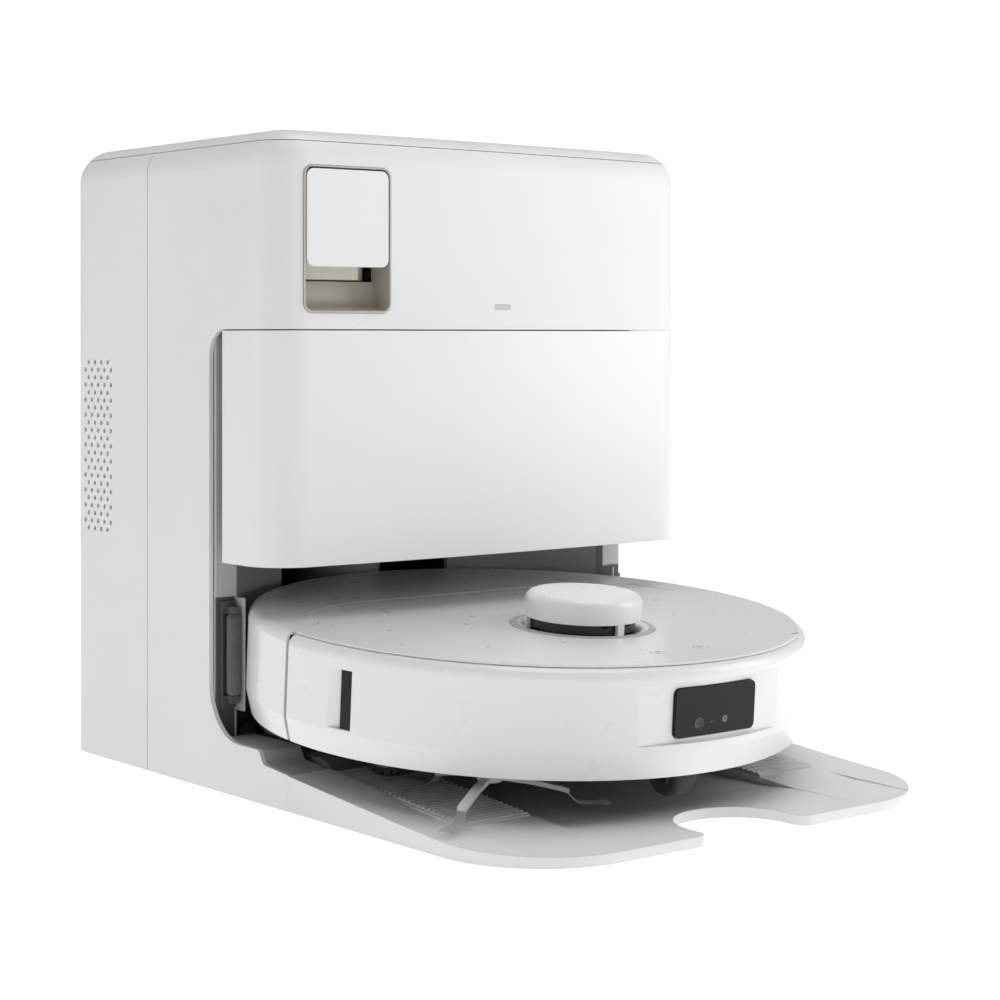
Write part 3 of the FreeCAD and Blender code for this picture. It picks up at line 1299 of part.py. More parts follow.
def fan_motor():
    """The robot's suction fan behind the dust box."""
    drum = rod("robot_fan_drum", 0, 112, 0, 27, (54, 76))
    cap = taper("robot_fan_cap", 0, 112, 0, (27, 18), (76, 80))
    eye = rod("robot_fan_eye", 0, 112, 0, 10, (60, 81))
    duct = box("robot_fan_duct", (-18, 18), (68, 95), (56, 74))
    node(cut("robot_fan_cut", fuse("robot_fan_whole", drum, cap, duct), eye), "suction_fan", "robot")


def battery_pack():
    """Lithium pack between the wheels: eight cells under one wrap."""
    cells = []
    for row in range(2):
        for column in range(4):
            y, z = -19.5 + 19.4 * column, 36.2
            x = -33.0 + 66.0 * row
            cells.append(rod("cell_{}_{}".format(row, column), 0, y, z, 9.0, (x - 32.5, x + 32.5), "X"))
    tray = box("battery_tray", (-67, 67), (-29, 48), (25.5, 30))
    node(fuse("battery_whole", tray, *cells), "battery", "robot")


def main_board():
    """The robot's circuit board in front of the turret, with shielded chips."""
    board = rod("robot_board_disc", 0, 0, 0, 155, (57, 58.4))
    keep = box("robot_board_keep", (-80, 80), (-150, -86), (50, 65))
    sheet_part = common("robot_board_sheet", board, keep)
    chips = [box("robot_chip_{}".format(n), (-62 + 26 * n, -44 + 26 * n), (-112, -96), (58.2, 61))
             for n in range(5)]
    node(fuse("robot_board_whole", sheet_part, *chips), "main_board", "robot")


def robot_tank():
    """The robot's own small water tank, on the left of the fan."""
    ring = rod("tank_ring", 0, 0, 0, 156, (52, 79))
    keep = box("tank_keep", (-130, -32), (70, 150), (40, 90))
    body = common("tank_body", ring, keep)
    plug = rod("tank_plug", -75, 100, 0, 8, (78, 80.5))
    node(fuse("tank_whole", body, plug), "robot_water_tank", "robot")


def robot_contacts():
    """Two charging pads in the rear of the robot."""
    pads = [radial_block("charge_pad_" + word, contact_turn * side, 9.8, (26.2, 35.8), (169.5, 173.0))
            for word, side in (("a", -1), ("b", 1))]
    node(group("pad_pair", pads), "charging_pads", "robot")


def cliff_sensors():
    """Four downward windows that watch for a drop."""
    panes = [
        box("cliff_{}".format(n), (x - 7.8, x + 7.8), (y - 4.8, y + 4.8), (low + 0.4, low + 2.6))
        for n, (x, y) in enumerate(((-150.0, -40.0), (150.0, -40.0), (-52.0, -147.0), (52.0, -147.0)))
    ]
    node(group("cliff_set", panes), "cliff_sensors", "robot")


dustbin()
fan_motor()
battery_pack()
main_board()
robot_tank()
robot_contacts()
cliff_sensors()


# ---------------------------------------------------------------- check and write

doc.recompute()
for thing in doc.Objects:
    if "Invalid" in thing.State or "Error" in thing.State:
        raise RuntimeError("failed: {} {}".format(thing.Name, thing.State))
os.makedirs("parts", exist_ok=True)
for thing in NODES:
    shape = thing.Shape
    if shape.isNull() or not shape.isValid():
        raise RuntimeError("bad shape: " + thing.Label)
    shape.exportStep("parts/{}.step".format(thing.Label))
print(len(NODES), "sub-parts written")
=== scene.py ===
import json
import math
import random

import bmesh
import bpy
from mathutils import Matrix, Vector, noise as field


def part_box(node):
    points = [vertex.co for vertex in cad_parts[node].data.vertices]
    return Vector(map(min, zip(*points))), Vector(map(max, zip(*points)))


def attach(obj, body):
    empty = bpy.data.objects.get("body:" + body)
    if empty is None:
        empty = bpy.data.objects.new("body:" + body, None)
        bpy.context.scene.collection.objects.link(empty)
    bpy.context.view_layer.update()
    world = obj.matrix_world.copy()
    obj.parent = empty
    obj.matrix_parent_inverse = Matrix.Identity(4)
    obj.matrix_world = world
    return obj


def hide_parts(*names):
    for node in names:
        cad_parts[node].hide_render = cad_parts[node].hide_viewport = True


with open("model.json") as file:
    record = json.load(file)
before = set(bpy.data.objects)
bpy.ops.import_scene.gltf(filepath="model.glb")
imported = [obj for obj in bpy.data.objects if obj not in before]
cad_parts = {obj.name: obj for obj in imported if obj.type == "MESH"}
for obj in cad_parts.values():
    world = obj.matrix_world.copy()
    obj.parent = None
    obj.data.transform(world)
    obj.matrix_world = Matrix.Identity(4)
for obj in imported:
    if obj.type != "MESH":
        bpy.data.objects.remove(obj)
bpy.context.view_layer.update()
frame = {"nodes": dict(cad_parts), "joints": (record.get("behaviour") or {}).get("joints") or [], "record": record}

random.seed(7)
NODES = frame["nodes"]
JOINTS = {joint["name"]: joint for joint in frame["joints"]}

# The robot stands in its bay on a slope. This turns robot coordinates into the frame's.
LEAN = math.radians(3.84)
TO_FRAME = Matrix.Translation((0, -0.0348, 0.02106)) @ Matrix.Rotation(LEAN, 4, "X")


# ------------------------------------------------------------------ materials

def shader(name, colour, rough, metallic=0.0, coat=0.0, coat_rough=0.1, specular=0.5):
    """A new material with its Principled shader's plain values set, and its node tree."""
    material = bpy.data.materials.new(name)
    material.use_nodes = True
    tree = material.node_tree
    bsdf = tree.nodes["Principled BSDF"]
    bsdf.inputs["Base Color"].default_value = (*colour, 1)
    bsdf.inputs["Roughness"].default_value = rough
    bsdf.inputs["Metallic"].default_value = metallic
    bsdf.inputs["Coat Weight"].default_value = coat
    bsdf.inputs["Coat Roughness"].default_value = coat_rough
    bsdf.inputs["Specular IOR Level"].default_value = specular
    return material, tree, bsdf


def own_place(tree):
    """The point's place in the object's own coordinates, which are the frame's, in metres."""
    return tree.nodes.new("ShaderNodeTexCoord").outputs["Object"]


def noise(tree, scale, detail=2.0, stretch=(1, 1, 1)):
    """Noise in the object's own coordinates. Its scale is in cycles per metre."""
    place = own_place(tree)
    mapping = tree.nodes.new("ShaderNodeMapping")
    mapping.inputs["Scale"].default_value = stretch
    pattern = tree.nodes.new("ShaderNodeTexNoise")
    pattern.inputs["Scale"].default_value = scale
    pattern.inputs["Detail"].default_value = detail
    tree.links.new(place, mapping.inputs["Vector"])
    tree.links.new(mapping.outputs["Vector"], pattern.inputs["Vector"])
    return pattern.outputs["Fac"]


def spread(tree, source, low, high, start=0.3, end=0.7):
    """Maps a pattern onto a range of values."""
    ramp = tree.nodes.new("ShaderNodeMapRange")
    ramp.inputs["From Min"].default_value = start
    ramp.inputs["From Max"].default_value = end
    ramp.inputs["To Min"].default_value = low
    ramp.inputs["To Max"].default_value = high
    tree.links.new(source, ramp.inputs["Value"])
    return ramp.outputs["Result"]


def two_tone(tree, source, first, second, start=0.3, end=0.7):
    """Mixes two colours by a pattern."""
    ramp = tree.nodes.new("ShaderNodeValToRGB")
    ramp.color_ramp.elements[0].position = start
    ramp.color_ramp.elements[1].position = end
    ramp.color_ramp.elements[0].color = (*first, 1)
    ramp.color_ramp.elements[1].color = (*second, 1)
    tree.links.new(source, ramp.inputs["Fac"])
    return ramp.outputs["Color"]


def relief(tree, bsdf, layers, edge=0.0):
    """Chains bumps, one for each (pattern, depth in metres), over an edge-softening normal."""
    normal = None
    if edge:
        bevel = tree.nodes.new("ShaderNodeBevel")
        bevel.samples = 4
        bevel.inputs["Radius"].default_value = edge
        normal = bevel.outputs["Normal"]
    for pattern, depth in layers:
        bump = tree.nodes.new("ShaderNodeBump")
        bump.inputs["Distance"].default_value = depth
        bump.inputs["Strength"].default_value = 1.0
        tree.links.new(pattern, bump.inputs["Height"])
        if normal is not None:
            tree.links.new(normal, bump.inputs["Normal"])
        normal = bump.outputs["Normal"]
    if normal is not None:
        tree.links.new(normal, bsdf.inputs["Normal"])


def shade(colour, amount):
    """A colour made darker or lighter."""
    return tuple(max(0.0, c * amount) for c in colour)


def plastic(name, colour, rough, grain=1400.0, depth=0.00001, edge=0.0007, coat=0.0, vary=0.03):
    """Moulded plastic: fine spark texture, slow changes of tone and gloss, softened edges."""
    material, tree, bsdf = shader(name, colour, rough, coat=coat, coat_rough=0.12)
    slow = noise(tree, 9.0, 3.0)
    tree.links.new(two_tone(tree, slow, shade(colour, 1 - vary), colour), bsdf.inputs["Base Color"])
    tree.links.new(spread(tree, noise(tree, 55.0, 4.0), rough * 0.9, rough * 1.12), bsdf.inputs["Roughness"])
    relief(tree, bsdf, [(noise(tree, grain, 3.0), depth)], edge)
    return material


def rubber(name, colour, rough=0.75):
    """Rubber: matt, faintly mottled, with a dusty bloom."""
    material, tree, bsdf = shader(name, colour, rough, specular=0.35)
    tree.links.new(two_tone(tree, noise(tree, 40.0, 5.0), shade(colour, 0.8), shade(colour, 1.15)),
                   bsdf.inputs["Base Color"])
    relief(tree, bsdf, [(noise(tree, 2200.0, 2.0), 0.00003)], 0.0004)
    bsdf.inputs["Sheen Weight"].default_value = 0.2
    return material


def metal(name, colour, rough, stretch=(1, 1, 1), grain=600.0, shine=0.85):
    """Metal, or metallic paint, with fine drawn lines or flakes."""
    material, tree, bsdf = shader(name, colour, rough, metallic=shine)
    lines = noise(tree, grain, 3.0, stretch)
    tree.links.new(spread(tree, lines, rough * 0.8, rough * 1.3), bsdf.inputs["Roughness"])
    tree.links.new(two_tone(tree, noise(tree, 12.0), shade(colour, 0.95), colour), bsdf.inputs["Base Color"])
    relief(tree, bsdf, [(lines, 0.000006)], 0.0003)
    return material


def dark_glass(name, colour, rough=0.08):
    """Dark filter window: nearly black under a thin hard coat."""
    material, tree, bsdf = shader(name, colour, rough, coat=0.2, coat_rough=0.03, specular=0.15)
    tree.links.new(two_tone(tree, noise(tree, 22.0), shade(colour, 0.6), shade(colour, 1.4)),
                   bsdf.inputs["Base Color"])
    tree.links.new(spread(tree, noise(tree, 90.0, 4.0), rough, rough * 1.8), bsdf.inputs["Roughness"])
    relief(tree, bsdf, [(noise(tree, 30.0), 0.00002)], 0.0004)
    return material


def cloth(name, light, dark, cell=700.0, depth=0.0004):
    """Cloth pile or fibre: cells that crowd together, with a soft sheen."""
    material, tree, bsdf = shader(name, light, 0.95, specular=0.2)
    cells = tree.nodes.new("ShaderNodeTexVoronoi")
    cells.inputs["Scale"].default_value = cell
    tree.links.new(own_place(tree), cells.inputs["Vector"])
    gap = cells.outputs["Distance"]
    tree.links.new(two_tone(tree, gap, light, dark, 0.1, 0.75), bsdf.inputs["Base Color"])
    relief(tree, bsdf, [(gap, -depth), (noise(tree, 120.0, 4.0), depth)])
    bsdf.inputs["Sheen Weight"].default_value = 0.5
    bsdf.inputs["Sheen Roughness"].default_value = 0.6
    return material


def smoked_plastic(name, colour, clearness):
    """Clear tinted plastic, as a thin wall."""
    material, tree, bsdf = shader(name, colour, 0.12, coat=0.4)
    tree.links.new(spread(tree, noise(tree, 60.0, 3.0), 0.08, 0.2), bsdf.inputs["Roughness"])
    relief(tree, bsdf, [(noise(tree, 14.0), 0.0002)], 0.0008)
    bsdf.inputs["Transmission Weight"].default_value = clearness
    bsdf.inputs["IOR"].default_value = 1.2
    return material


def wheel_material(name, centre, rim, tread, hub):
    """Rubber outside a radius from the axle, and plastic inside it."""
    material, tree, bsdf = shader(name, hub, 0.5)
    offset = tree.nodes.new("ShaderNodeVectorMath")
    offset.operation = "SUBTRACT"
    offset.inputs[1].default_value = centre
    flat = tree.nodes.new("ShaderNodeVectorMath")
    flat.operation = "MULTIPLY"
    flat.inputs[1].default_value = (0, 1, 1)
    reach = tree.nodes.new("ShaderNodeVectorMath")
    reach.operation = "LENGTH"
    tree.links.new(own_place(tree), offset.inputs[0])
    tree.links.new(offset.outputs["Vector"], flat.inputs[0])
    tree.links.new(flat.outputs["Vector"], reach.inputs[0])
    mask = spread(tree, reach.outputs["Value"], 0.0, 1.0, rim - 0.0002, rim + 0.0002)
    tree.links.new(two_tone(tree, mask, hub, tread, 0.45, 0.55), bsdf.inputs["Base Color"])
    tree.links.new(spread(tree, mask, 0.45, 0.85, 0.0, 1.0), bsdf.inputs["Roughness"])
    relief(tree, bsdf, [(noise(tree, 1800.0, 3.0), 0.00003)], 0.0004)
    return material


def limit(tree, source, edge, above, blur=0.0001):
    """1 on one side of a value of the pattern and 0 on the other."""
    low, high = (0.0, 1.0) if above else (1.0, 0.0)
    return spread(tree, source, low, high, edge - blur, edge + blur)


def both_of(tree, first, second):
    """Product of two masks."""
    product = tree.nodes.new("ShaderNodeMath")
    product.operation = "MULTIPLY"
    tree.links.new(first, product.inputs[0])
    tree.links.new(second, product.inputs[1])
    return product.outputs["Value"]


def frame_axes(tree):
    """X, Y and Z in the frame, in metres."""
    split = tree.nodes.new("ShaderNodeSeparateXYZ")
    tree.links.new(own_place(tree), split.inputs["Vector"])
    return split.outputs


# Bounds of the painted areas, in metres in the frame: the cartridge's ledge, and the painted shade on the liner at
# its roller brackets.
LEDGE_TOP = 0.3224
BRACKET_INSIDE, BRACKET_FRONT, BRACKET_TOP = 0.1536, 0.0612, 0.1185


def cartridge_paint():
    """White pad in front, and the ledge under it in the recess's own colour."""
    material = plastic("cartridge_white", BRIGHT, 0.34, depth=0.000006, coat=0.1)
    tree = material.node_tree
    mask = limit(tree, frame_axes(tree)["Z"], LEDGE_TOP, True)
    tree.links.new(two_tone(tree, mask, GREIGE, BRIGHT, 0.45, 0.55),
                   tree.nodes["Principled BSDF"].inputs["Base Color"])
    return material


def liner_with_painted_shade():
    """Grey liner with painted shade: its roller brackets and foot are darkened where shade falls on them."""
    light, dark = (0.46, 0.465, 0.47), (0.07, 0.071, 0.074)
    material = plastic("liner_grey", light, 0.5)
    tree = material.node_tree
    axes = frame_axes(tree)
    sideways = tree.nodes.new("ShaderNodeMath")
    sideways.operation = "ABSOLUTE"
    tree.links.new(axes["X"], sideways.inputs[0])
    # Painted shade: dark stands in for the shade on the roller brackets and the liner's foot, at its sides,
    # towards the front and low down.
    bracket_shade = both_of(tree, limit(tree, sideways.outputs["Value"], BRACKET_INSIDE, True),
                      both_of(tree, limit(tree, axes["Y"], BRACKET_FRONT, False),
                              limit(tree, axes["Z"], BRACKET_TOP, False, 0.002)))
    tree.links.new(two_tone(tree, bracket_shade, light, dark, 0.45, 0.55),
                   tree.nodes["Principled BSDF"].inputs["Base Color"])
    return material


# Colours, linear.
WHITE = (0.76, 0.765, 0.77)
BRIGHT = (0.79, 0.795, 0.80)
INK = (0.01, 0.01, 0.011)
GREIGE = (0.50, 0.47, 0.40)
MATERIALS = {
    "white_casing": plastic("casing_white", WHITE, 0.45, depth=0.000012),
    "white_panel": plastic("panel_white", BRIGHT, 0.34, depth=0.000006, coat=0.1),
    "grey_liner": liner_with_painted_shade(),
    "black_back": plastic("back_black", INK, 0.55),
    "grey_grip": rubber("grip_grey", (0.60, 0.605, 0.61), 0.7),
    "grey_pan": plastic("pan_grey", (0.50, 0.505, 0.51), 0.5),
    "grey_tray": plastic("tray_grey", (0.26, 0.265, 0.27), 0.5),
    "tank_smoke": smoked_plastic("tank_clear", (0.60, 0.66, 0.70), 0.75),
    "champagne": metal("champagne_paint", GREIGE, 0.4, shine=0.2),
    "lamp_white": plastic("lamp_lens", (0.45, 0.45, 0.46), 0.25, coat=0.5, edge=0.0003),
    "bag_paper": cloth("bag_fibre", (0.66, 0.62, 0.54), (0.42, 0.39, 0.33), 1500.0, 0.0001),
    "motor_black": plastic("motor_black", (0.02, 0.02, 0.021), 0.45),
    "contact_metal": metal("contact_gold", (0.75, 0.60, 0.32), 0.25),
    "feet_rubber": rubber("feet_black", (0.02, 0.02, 0.02)),
    "screw_steel": metal("screw_steel", (0.55, 0.55, 0.56), 0.3),
    "guide_grey": rubber("guide_grey", (0.10, 0.102, 0.106)),
    "robot_white": plastic("robot_white", BRIGHT, 0.30, depth=0.000003, coat=0.2, edge=0.0006),
    "robot_black": plastic("robot_black", (0.018, 0.018, 0.019), 0.5, depth=0.00002),
    "cap_white": plastic("cap_white", (0.81, 0.815, 0.82), 0.3, depth=0.000004, coat=0.2, edge=0.0003),
    "scanner_black": plastic("scanner_black", (0.006, 0.006, 0.007), 0.35),
    "window_black": dark_glass("window_black", (0.003, 0.003, 0.0035)),
    "camera_black": plastic("camera_black", (0.01, 0.01, 0.01), 0.4),
    "caster_grey": rubber("caster_grey", (0.05, 0.05, 0.052)),
    "arm_grey": plastic("arm_grey", (0.06, 0.06, 0.063), 0.5),
    "brush_grey": rubber("brush_grey", (0.55, 0.56, 0.57), 0.6),
    "roller_rubber": rubber("roller_rubber", (0.06, 0.065, 0.075)),
    "mop_disc_white": plastic("disc_grey", (0.45, 0.46, 0.47), 0.45),
    "mop_cloth": cloth("mop_pile", (0.56, 0.58, 0.60), (0.30, 0.32, 0.34)),
    "bin_smoke": plastic("bin_smoke", (0.07, 0.075, 0.085), 0.25, coat=0.3),
    "board_green": plastic("board_green", (0.01, 0.09, 0.035), 0.4, grain=300.0, depth=0.00006),
    "battery_wrap": plastic("battery_wrap", (0.02, 0.06, 0.16), 0.35),
    "robot_tank": plastic("robot_tank", (0.30, 0.34, 0.38), 0.2, coat=0.3),
}
SLOT_OF = {entry["node"]: entry["material_slot"] for entry in frame["record"]["subparts"]}


def dress(thing, material):
    """Gives every material slot of an object this material."""
    if not thing.material_slots:
        thing.data.materials.append(material)
    for material_slot in thing.material_slots:
        material_slot.material = material


for label, thing in NODES.items():
    if SLOT_OF[label] in MATERIALS:
        dress(thing, MATERIALS[SLOT_OF[label]])
dress(NODES["detergent_cartridge"], cartridge_paint())
TYRE_INSIDE, TYRE_BLACK, HUB_GREY = 0.0302, (0.03, 0.03, 0.032), (0.16, 0.16, 0.165)
for side in ("left", "right"):
    axle = Vector(JOINTS["wheel_{}_spin".format(side)]["pos_m"])
    dress(NODES["drive_wheel_" + side],
          wheel_material("wheel_" + side, axle, TYRE_INSIDE, TYRE_BLACK, HUB_GREY))


# ------------------------------------------------------------------ added pieces

def link(name, mesh, body, slot, smooth=True):
    """Puts a new mesh, given in metres in the frame, on a body in a slot's material."""
    for face in mesh.polygons:
        face.use_smooth = smooth
    thing = bpy.data.objects.new(name, mesh)
    bpy.context.scene.collection.objects.link(thing)
    dress(thing, MATERIALS[slot])
    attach(thing, body)
    return thing


def lathe(profile, steps, place, wobble=None):
    """Vertices and faces of a closed (r, z) profile turned about Z, in millimetres, then placed."""
    points, faces = [], []
    for i in range(steps):
        turn = 2 * math.pi * i / steps
        for r, z in profile:
            point = Vector((r * math.cos(turn), r * math.sin(turn), z))
            if wobble:
                point = wobble(point)
            points.append(place @ (point / 1000))
    count = len(profile)
    for i in range(steps):
        for k in range(count):
            a, b = i * count + k, i * count + (k + 1) % count
            c, d = ((i + 1) % steps) * count + (k + 1) % count, ((i + 1) % steps) * count + k
            faces.append((a, d, c, b))
    return points, faces


def joined(*parts):
    """Several (vertices, faces) as one mesh."""
    points, faces = [], []
    for more_points, more_faces in parts:
        faces += [tuple(index + len(points) for index in face) for face in more_faces]
        points += more_points
    mesh = bpy.data.meshes.new("piece")
    mesh.from_pydata([tuple(point) for point in points], [], faces)
    return mesh


def tidy(mesh):
    """Welds doubled points and turns every face outwards."""
    work = bmesh.new()
    work.from_mesh(mesh)
    bmesh.ops.remove_doubles(work, verts=work.verts, dist=1e-7)
    bmesh.ops.recalc_face_normals(work, faces=work.faces)
    work.to_mesh(mesh)
    work.free()
    return mesh


def at(x, y, z, turn=Matrix()):
    """A place in the robot's own frame, in millimetres."""
    return TO_FRAME @ Matrix.Translation(Vector((x, y, z)) / 1000) @ turn


# Height of the robot's top, in millimetres in its own frame.
DECK = 86.0

# The white dish between the metallic ring and the turret.
dish = [(33.0, DECK - 2.17), (40.7, DECK + 0.64), (40.5, DECK + 0.74), (33.0, DECK - 1.97)]
link("turret_dish", tidy(joined(lathe(dish, 128, at(0, -53, 0)))), "robot", "cap_white")

# The camera's lens and its two lamps, on the front window: (radius, height) profiles in millimetres.
FRONT = Matrix.Rotation(math.radians(90), 4, "X")
WINDOW_Y = -171.62
lens = [(0.01, 0.10), (1.5, 0.16), (3.0, 0.04), (3.3, 0.20), (3.7, 0.20), (3.9, 0.0), (0.01, -0.1)]
lamp = [(0.01, 0.12), (0.8, 0.08), (0.95, 0.16), (1.15, 0.0), (0.01, -0.1)]
CLEAR = plastic("lens_clear", (0.014, 0.015, 0.016), 0.12, edge=0.0)
GREEN = plastic("lens_green", (0.06, 0.13, 0.11), 0.15, edge=0.0)
wide_lamp = [(r * 2.0, z) for r, z in lamp]
for label, profile, steps, x, z, body_slot, look in (
        ("camera_lens", lens, 64, -13.0, 50.6, "camera_black", CLEAR),
        ("camera_lamp_small", lamp, 40, -3.1, 50.6, "camera_black", CLEAR),
        ("camera_lamp_large", wide_lamp, 40, 7.5, 51.2, "lamp_white", GREEN)):
    turned = tidy(joined(lathe(profile, steps, at(x, WINDOW_Y, z, FRONT))))
    dress(link(label, turned, "bumper_body", body_slot), look)


def wire(points, radius, place, steps=8):
    """A thin round wire through points, in millimetres, flat on its XY plane."""
    out, faces = [], []
    for i, point in enumerate(points):
        before, after = points[max(i - 1, 0)], points[min(i + 1, len(points) - 1)]
        along = (after - before).normalized()
        across = Vector((-along.y, along.x, 0)).normalized()
        over = along.cross(across)
        for k in range(steps):
            turn = 2 * math.pi * k / steps
            out.append(place @ ((point + (across * math.cos(turn) + over * math.sin(turn)) * radius) / 1000))
    for i in range(len(points) - 1):
        for k in range(steps):
            a, b = i * steps + k, i * steps + (k + 1) % steps
            faces.append((a, b, b + steps, a + steps))
    faces.append(tuple(range(steps - 1, -1, -1)))
    faces.append(tuple(range(len(out) - steps, len(out))))
    return out, faces


def arc(radius, start, end, steps=24):
    """Points on an arc about Z, from and to an angle in degrees."""
    turns = [math.radians(start + (end - start) * i / steps) for i in range(steps + 1)]
    return [Vector((radius * math.cos(turn), radius * math.sin(turn), 0)) for turn in turns]


# The keys' raised marks: a roof over a base line, and a broken ring with a stroke.
KEY_X, KEY_Y, KEY_TOP, LINE = 17, -139, DECK + 0.32, 0.16
HOME, POWER = at(-KEY_X, KEY_Y, KEY_TOP), at(KEY_X, KEY_Y, KEY_TOP)
roof = [Vector(p) for p in ((-1.7, 0.1, 0), (0, 1.6, 0), (1.7, 0.1, 0))]
wall = [Vector(p) for p in ((-1.1, 0.2, 0), (-1.1, -1.4, 0), (1.1, -1.4, 0), (1.1, 0.2, 0))]
link("home_mark", tidy(joined(wire(roof, LINE, HOME), wire(wall, LINE, HOME))),
     "home_button", "mop_disc_white")
stroke = [Vector((0, 0.5, 0)), Vector((0, 2.0, 0))]
link("power_mark", tidy(joined(wire(arc(1.6, 125, 415), LINE, POWER), wire(stroke, LINE, POWER))),
     "power_button", "mop_disc_white")


FLOOR_Z, DROP_REACH = 0.5, 9.5
THIRDS = (0, 2.094, 4.189)


def bristle(start, outward, length, thick, steps=9):
    """A tapered bristle in the robot's frame, in millimetres: it drops to the floor and then trails on it."""
    out, faces = [], []
    across = Vector((-outward.y, outward.x, 0))
    for i in range(steps + 1):
        reach = length * i / steps
        fall = min(reach / DROP_REACH, 1.0)
        fall = fall * fall * (3 - 2 * fall)
        centre = start + outward * reach
        centre.z = start.z + (FLOOR_Z - start.z) * fall
        size = thick * (1 - 0.6 * i / steps)
        for turn in THIRDS:
            offset = across * math.cos(turn) + Vector((0, 0, math.sin(turn)))
            out.append(at(*(centre + offset * size)).translation)
    for i in range(steps):
        for k in range(3):
            a, b = i * 3 + k, i * 3 + (k + 1) % 3
            faces.append((a, b, b + 3, a + 3))
    faces.append((2, 1, 0))
    faces.append((steps * 3, steps * 3 + 1, steps * 3 + 2))
    return out, faces


# Bristles at the ends of the corner brush's arms, low enough to pass under the wheel and the roller.
BRUSH_X, BRUSH_Y, BRUSH_Z = -106, -100, 7.0
FIRST_ARM, ARM_REACH, TUFTS, MIDDLE = 212, 43, 11, 5
bristles = []
for arm in range(3):
    heading = math.radians(FIRST_ARM + 120 * arm)
    outward = Vector((math.cos(heading), math.sin(heading), 0))
    across = Vector((-outward.y, outward.x, 0))
    for row in range(3):
        for n in range(TUFTS):
            fan = math.radians((n - MIDDLE) * 1.1 + random.uniform(-0.5, 0.5))
            start = (Vector((BRUSH_X, BRUSH_Y, BRUSH_Z + row * 0.55)) + outward * ARM_REACH
                     + across * (n - MIDDLE) * 0.42)
            away = outward * math.cos(fan) + across * math.sin(fan)
            bristles.append(bristle(start, away, random.uniform(25.0, 28.0), 0.22))
link("brush_bristles", tidy(joined(*bristles)), "brush", "brush_grey")


MOP_X, MOP_Y = 70, 78


def mop_pad(label, side):
    """A microfibre pad under a mop disc: a rolled edge, looped pile, and two stitched rings."""
    steps, rings = 180, 26
    top, foot, reach = 9.85, 4.15, 65.4
    profile = [(1.0, top)] + [(reach * k / 8, top) for k in range(1, 8)]
    profile += [(reach - 1.6 + 1.6 * math.sin(t), top - 2.2 + 2.2 * math.cos(t))
                for t in (0.3, 0.8, 1.2, 1.57)]
    profile += [(reach - 2.6 + 2.6 * math.cos(t), foot + 3.0 - 2.6 * math.sin(t))
                for t in (0.3, 0.7, 1.1, 1.45)]
    for k in range(rings):
        r = (reach - 3.4) * (1 - k / rings)
        seam = math.exp(-((r - 48) / 1.3) ** 2) + math.exp(-((r - 22) / 1.3) ** 2)
        profile.append((max(r, 1.0), foot + 0.35 + 1.1 * seam))

    def pile(point):
        if point.z > 9.3:
            return point
        lump = field.noise(Vector((point.x * 0.38, point.y * 0.38, side * 7.0)))
        fine = field.noise(Vector((point.x * 1.1, point.y * 1.1, side * 3.0 + point.z)))
        outward = Vector((point.x, point.y, 0)).normalized() if point.xy.length > reach - 4 else Vector()
        lift = 0.35 * lump + 0.2 * fine
        moved = point + outward * (0.5 * fine - 0.3)
        moved.z = max(foot - 0.1, moved.z + lift) if point.z < 7 else moved.z
        return moved

    pad = link(label + "_pile", tidy(joined(lathe(profile, steps, at(MOP_X * side, MOP_Y, 0), pile))),
               "mop_left" if side < 0 else "mop_right", "mop_cloth")
    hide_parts(label)


mop_pad("mop_pad_left", -1)
mop_pad("mop_pad_right", 1)


def dust_bag():
    """A non-woven pouch, drawn as sagging, with a pinched seam at its ends."""
    low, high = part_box("dust_bag")
    middle = (Vector(low) + Vector(high)) / 2
    half = (Vector(high) - Vector(low)) / 2
    points, faces = [], []
    columns, rows = 96, 60
    for row in range(rows + 1):
        v = -1 + 2 * row / rows
        for column in range(columns):
            turn = 2 * math.pi * column / columns
            east, north = math.cos(turn), math.sin(turn)
            round_x = math.copysign(abs(east) ** 0.55, east)
            belly = math.copysign(abs(north) ** 0.9, north)
            full = (1 - abs(v) ** 3.2) ** 0.55
            sag = 1.0 - 0.18 * (v + 0.35)
            width = 0.86 + 0.12 * full
            crease = 0.05 * field.noise(Vector((turn * 1.6, v * 5.5, 1.0))) * (1 - abs(v))
            pucker = 0.035 * math.sin(turn * 16) * abs(v) ** 6
            x = round_x * min(width, 0.985)
            y = belly * (full * 0.86 * min(sag, 1.06) + 0.03) + crease + pucker
            y = max(-0.98, min(0.98, y))
            points.append(middle + Vector((x * half.x, y * half.y, v * 0.985 * half.z)))
    for row in range(rows):
        for column in range(columns):
            a, b = row * columns + column, row * columns + (column + 1) % columns
            faces.append((a, b, b + columns, a + columns))
    faces.append(tuple(range(columns - 1, -1, -1)))
    faces.append(tuple(range(rows * columns, (rows + 1) * columns)))
    bag = link("dust_bag_pouch", tidy(joined((points, faces))), "station", "bag_paper")
    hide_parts("dust_bag")


dust_bag()


# ------------------------------------------------------------------ floor, light and camera

def stage_mesh(name, work):
    """Part of the setting, which isn't part of the object."""
    mesh = bpy.data.meshes.new(name)
    work.to_mesh(mesh)
    work.free()
    thing = bpy.data.objects.new(name, mesh)
    bpy.context.scene.collection.objects.link(thing)
    return thing


def glow(bsdf, strength):
    """White emission."""
    bsdf.inputs["Emission Color"].default_value = (1, 1, 1, 1)
    bsdf.inputs["Emission Strength"].default_value = strength


ground = bmesh.new()
bmesh.ops.create_grid(ground, x_segments=1, y_segments=1, size=30)
floor = stage_mesh("floor", ground)
floor.location.z = -0.0002  # just under the feet
floor_material, _, floor_bsdf = shader("floor_pale", (0.86, 0.86, 0.86), 0.9, specular=0.1)
glow(floor_bsdf, 0.68)
floor.data.materials.append(floor_material)

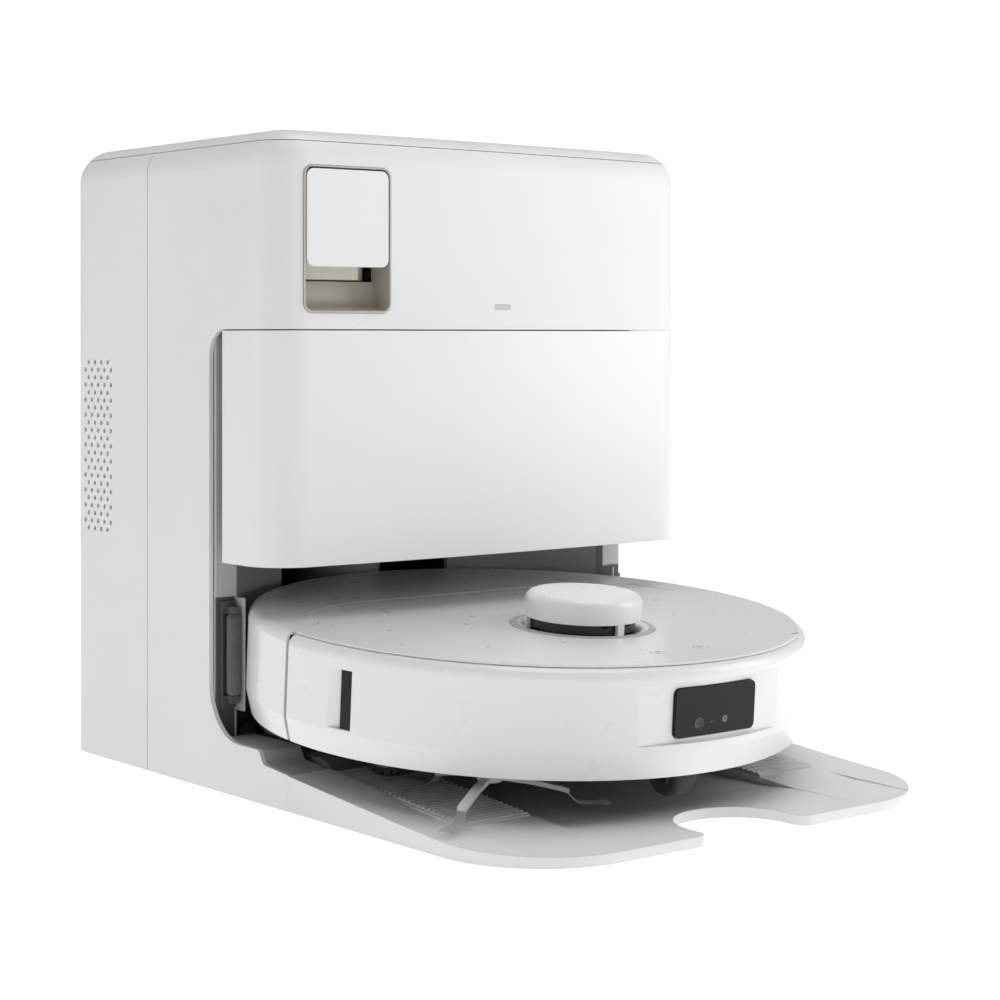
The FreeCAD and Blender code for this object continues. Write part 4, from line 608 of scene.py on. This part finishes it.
# A white backdrop that only the camera sees, so that it adds no light.
shell = bmesh.new()
bmesh.ops.create_uvsphere(shell, u_segments=48, v_segments=24, radius=25)
backdrop = stage_mesh("backdrop", shell)
backdrop_material, _, backdrop_bsdf = shader("backdrop_white", (0, 0, 0), 1.0, specular=0.0)
glow(backdrop_bsdf, 1.05)
backdrop.data.materials.append(backdrop_material)
for ray in ("diffuse", "glossy", "transmission", "volume_scatter", "shadow"):
    setattr(backdrop, "visible_" + ray, False)


def soft_light(name, size, power, at_point, towards=(0, 0, 0.15)):
    """An area light, in watts and metres, that faces a point."""
    data = bpy.data.lights.new(name, "AREA")
    data.shape = "RECTANGLE"
    data.size, data.size_y = size
    data.energy = power
    lamp_object = bpy.data.objects.new(name, data)
    lamp_object.location = at_point
    lamp_object.rotation_euler = (Vector(towards) - Vector(at_point)).to_track_quat("-Z", "Y").to_euler()
    bpy.context.scene.collection.objects.link(lamp_object)


soft_light("key", (0.6, 0.7), 3.6, (0.80, -0.62, 0.50), (0.0, -0.05, 0.24))
soft_light("side", (1.2, 1.6), 6, (-2.2, 0.9, 1.0), (-0.1, 0.1, 0.2))
soft_light("top", (1.4, 1.2), 13, (0.3, -0.3, 2.0))

world = bpy.data.worlds.new("studio")
world.use_nodes = True
sky = world.node_tree
background = sky.nodes["Background"]
background.inputs["Color"].default_value = (1, 1, 1, 1)
direction = sky.nodes.new("ShaderNodeTexCoord")
split = sky.nodes.new("ShaderNodeSeparateXYZ")
sky.links.new(direction.outputs["Generated"], split.inputs["Vector"])
sky.links.new(spread(sky, split.outputs["Z"], 0.34, 0.42, -0.2, 0.6), background.inputs["Strength"])
bpy.context.scene.world = world
bpy.context.scene.view_settings.view_transform = "Standard"

# The photo's camera: 36 mm sensor, level, shifted down.
camera_data = bpy.data.cameras.new("camera")
camera_data.lens = 81.05
camera_data.sensor_width = 36.0
camera_data.shift_y = -0.1625
camera_data.clip_start = 0.01
camera = bpy.data.objects.new("camera", camera_data)
camera.location = (-0.9042, -1.1359, 0.2795)
camera.rotation_euler = (math.radians(90), 0, math.radians(-38.84))
bpy.context.scene.collection.objects.link(camera)
bpy.context.scene.camera = camera
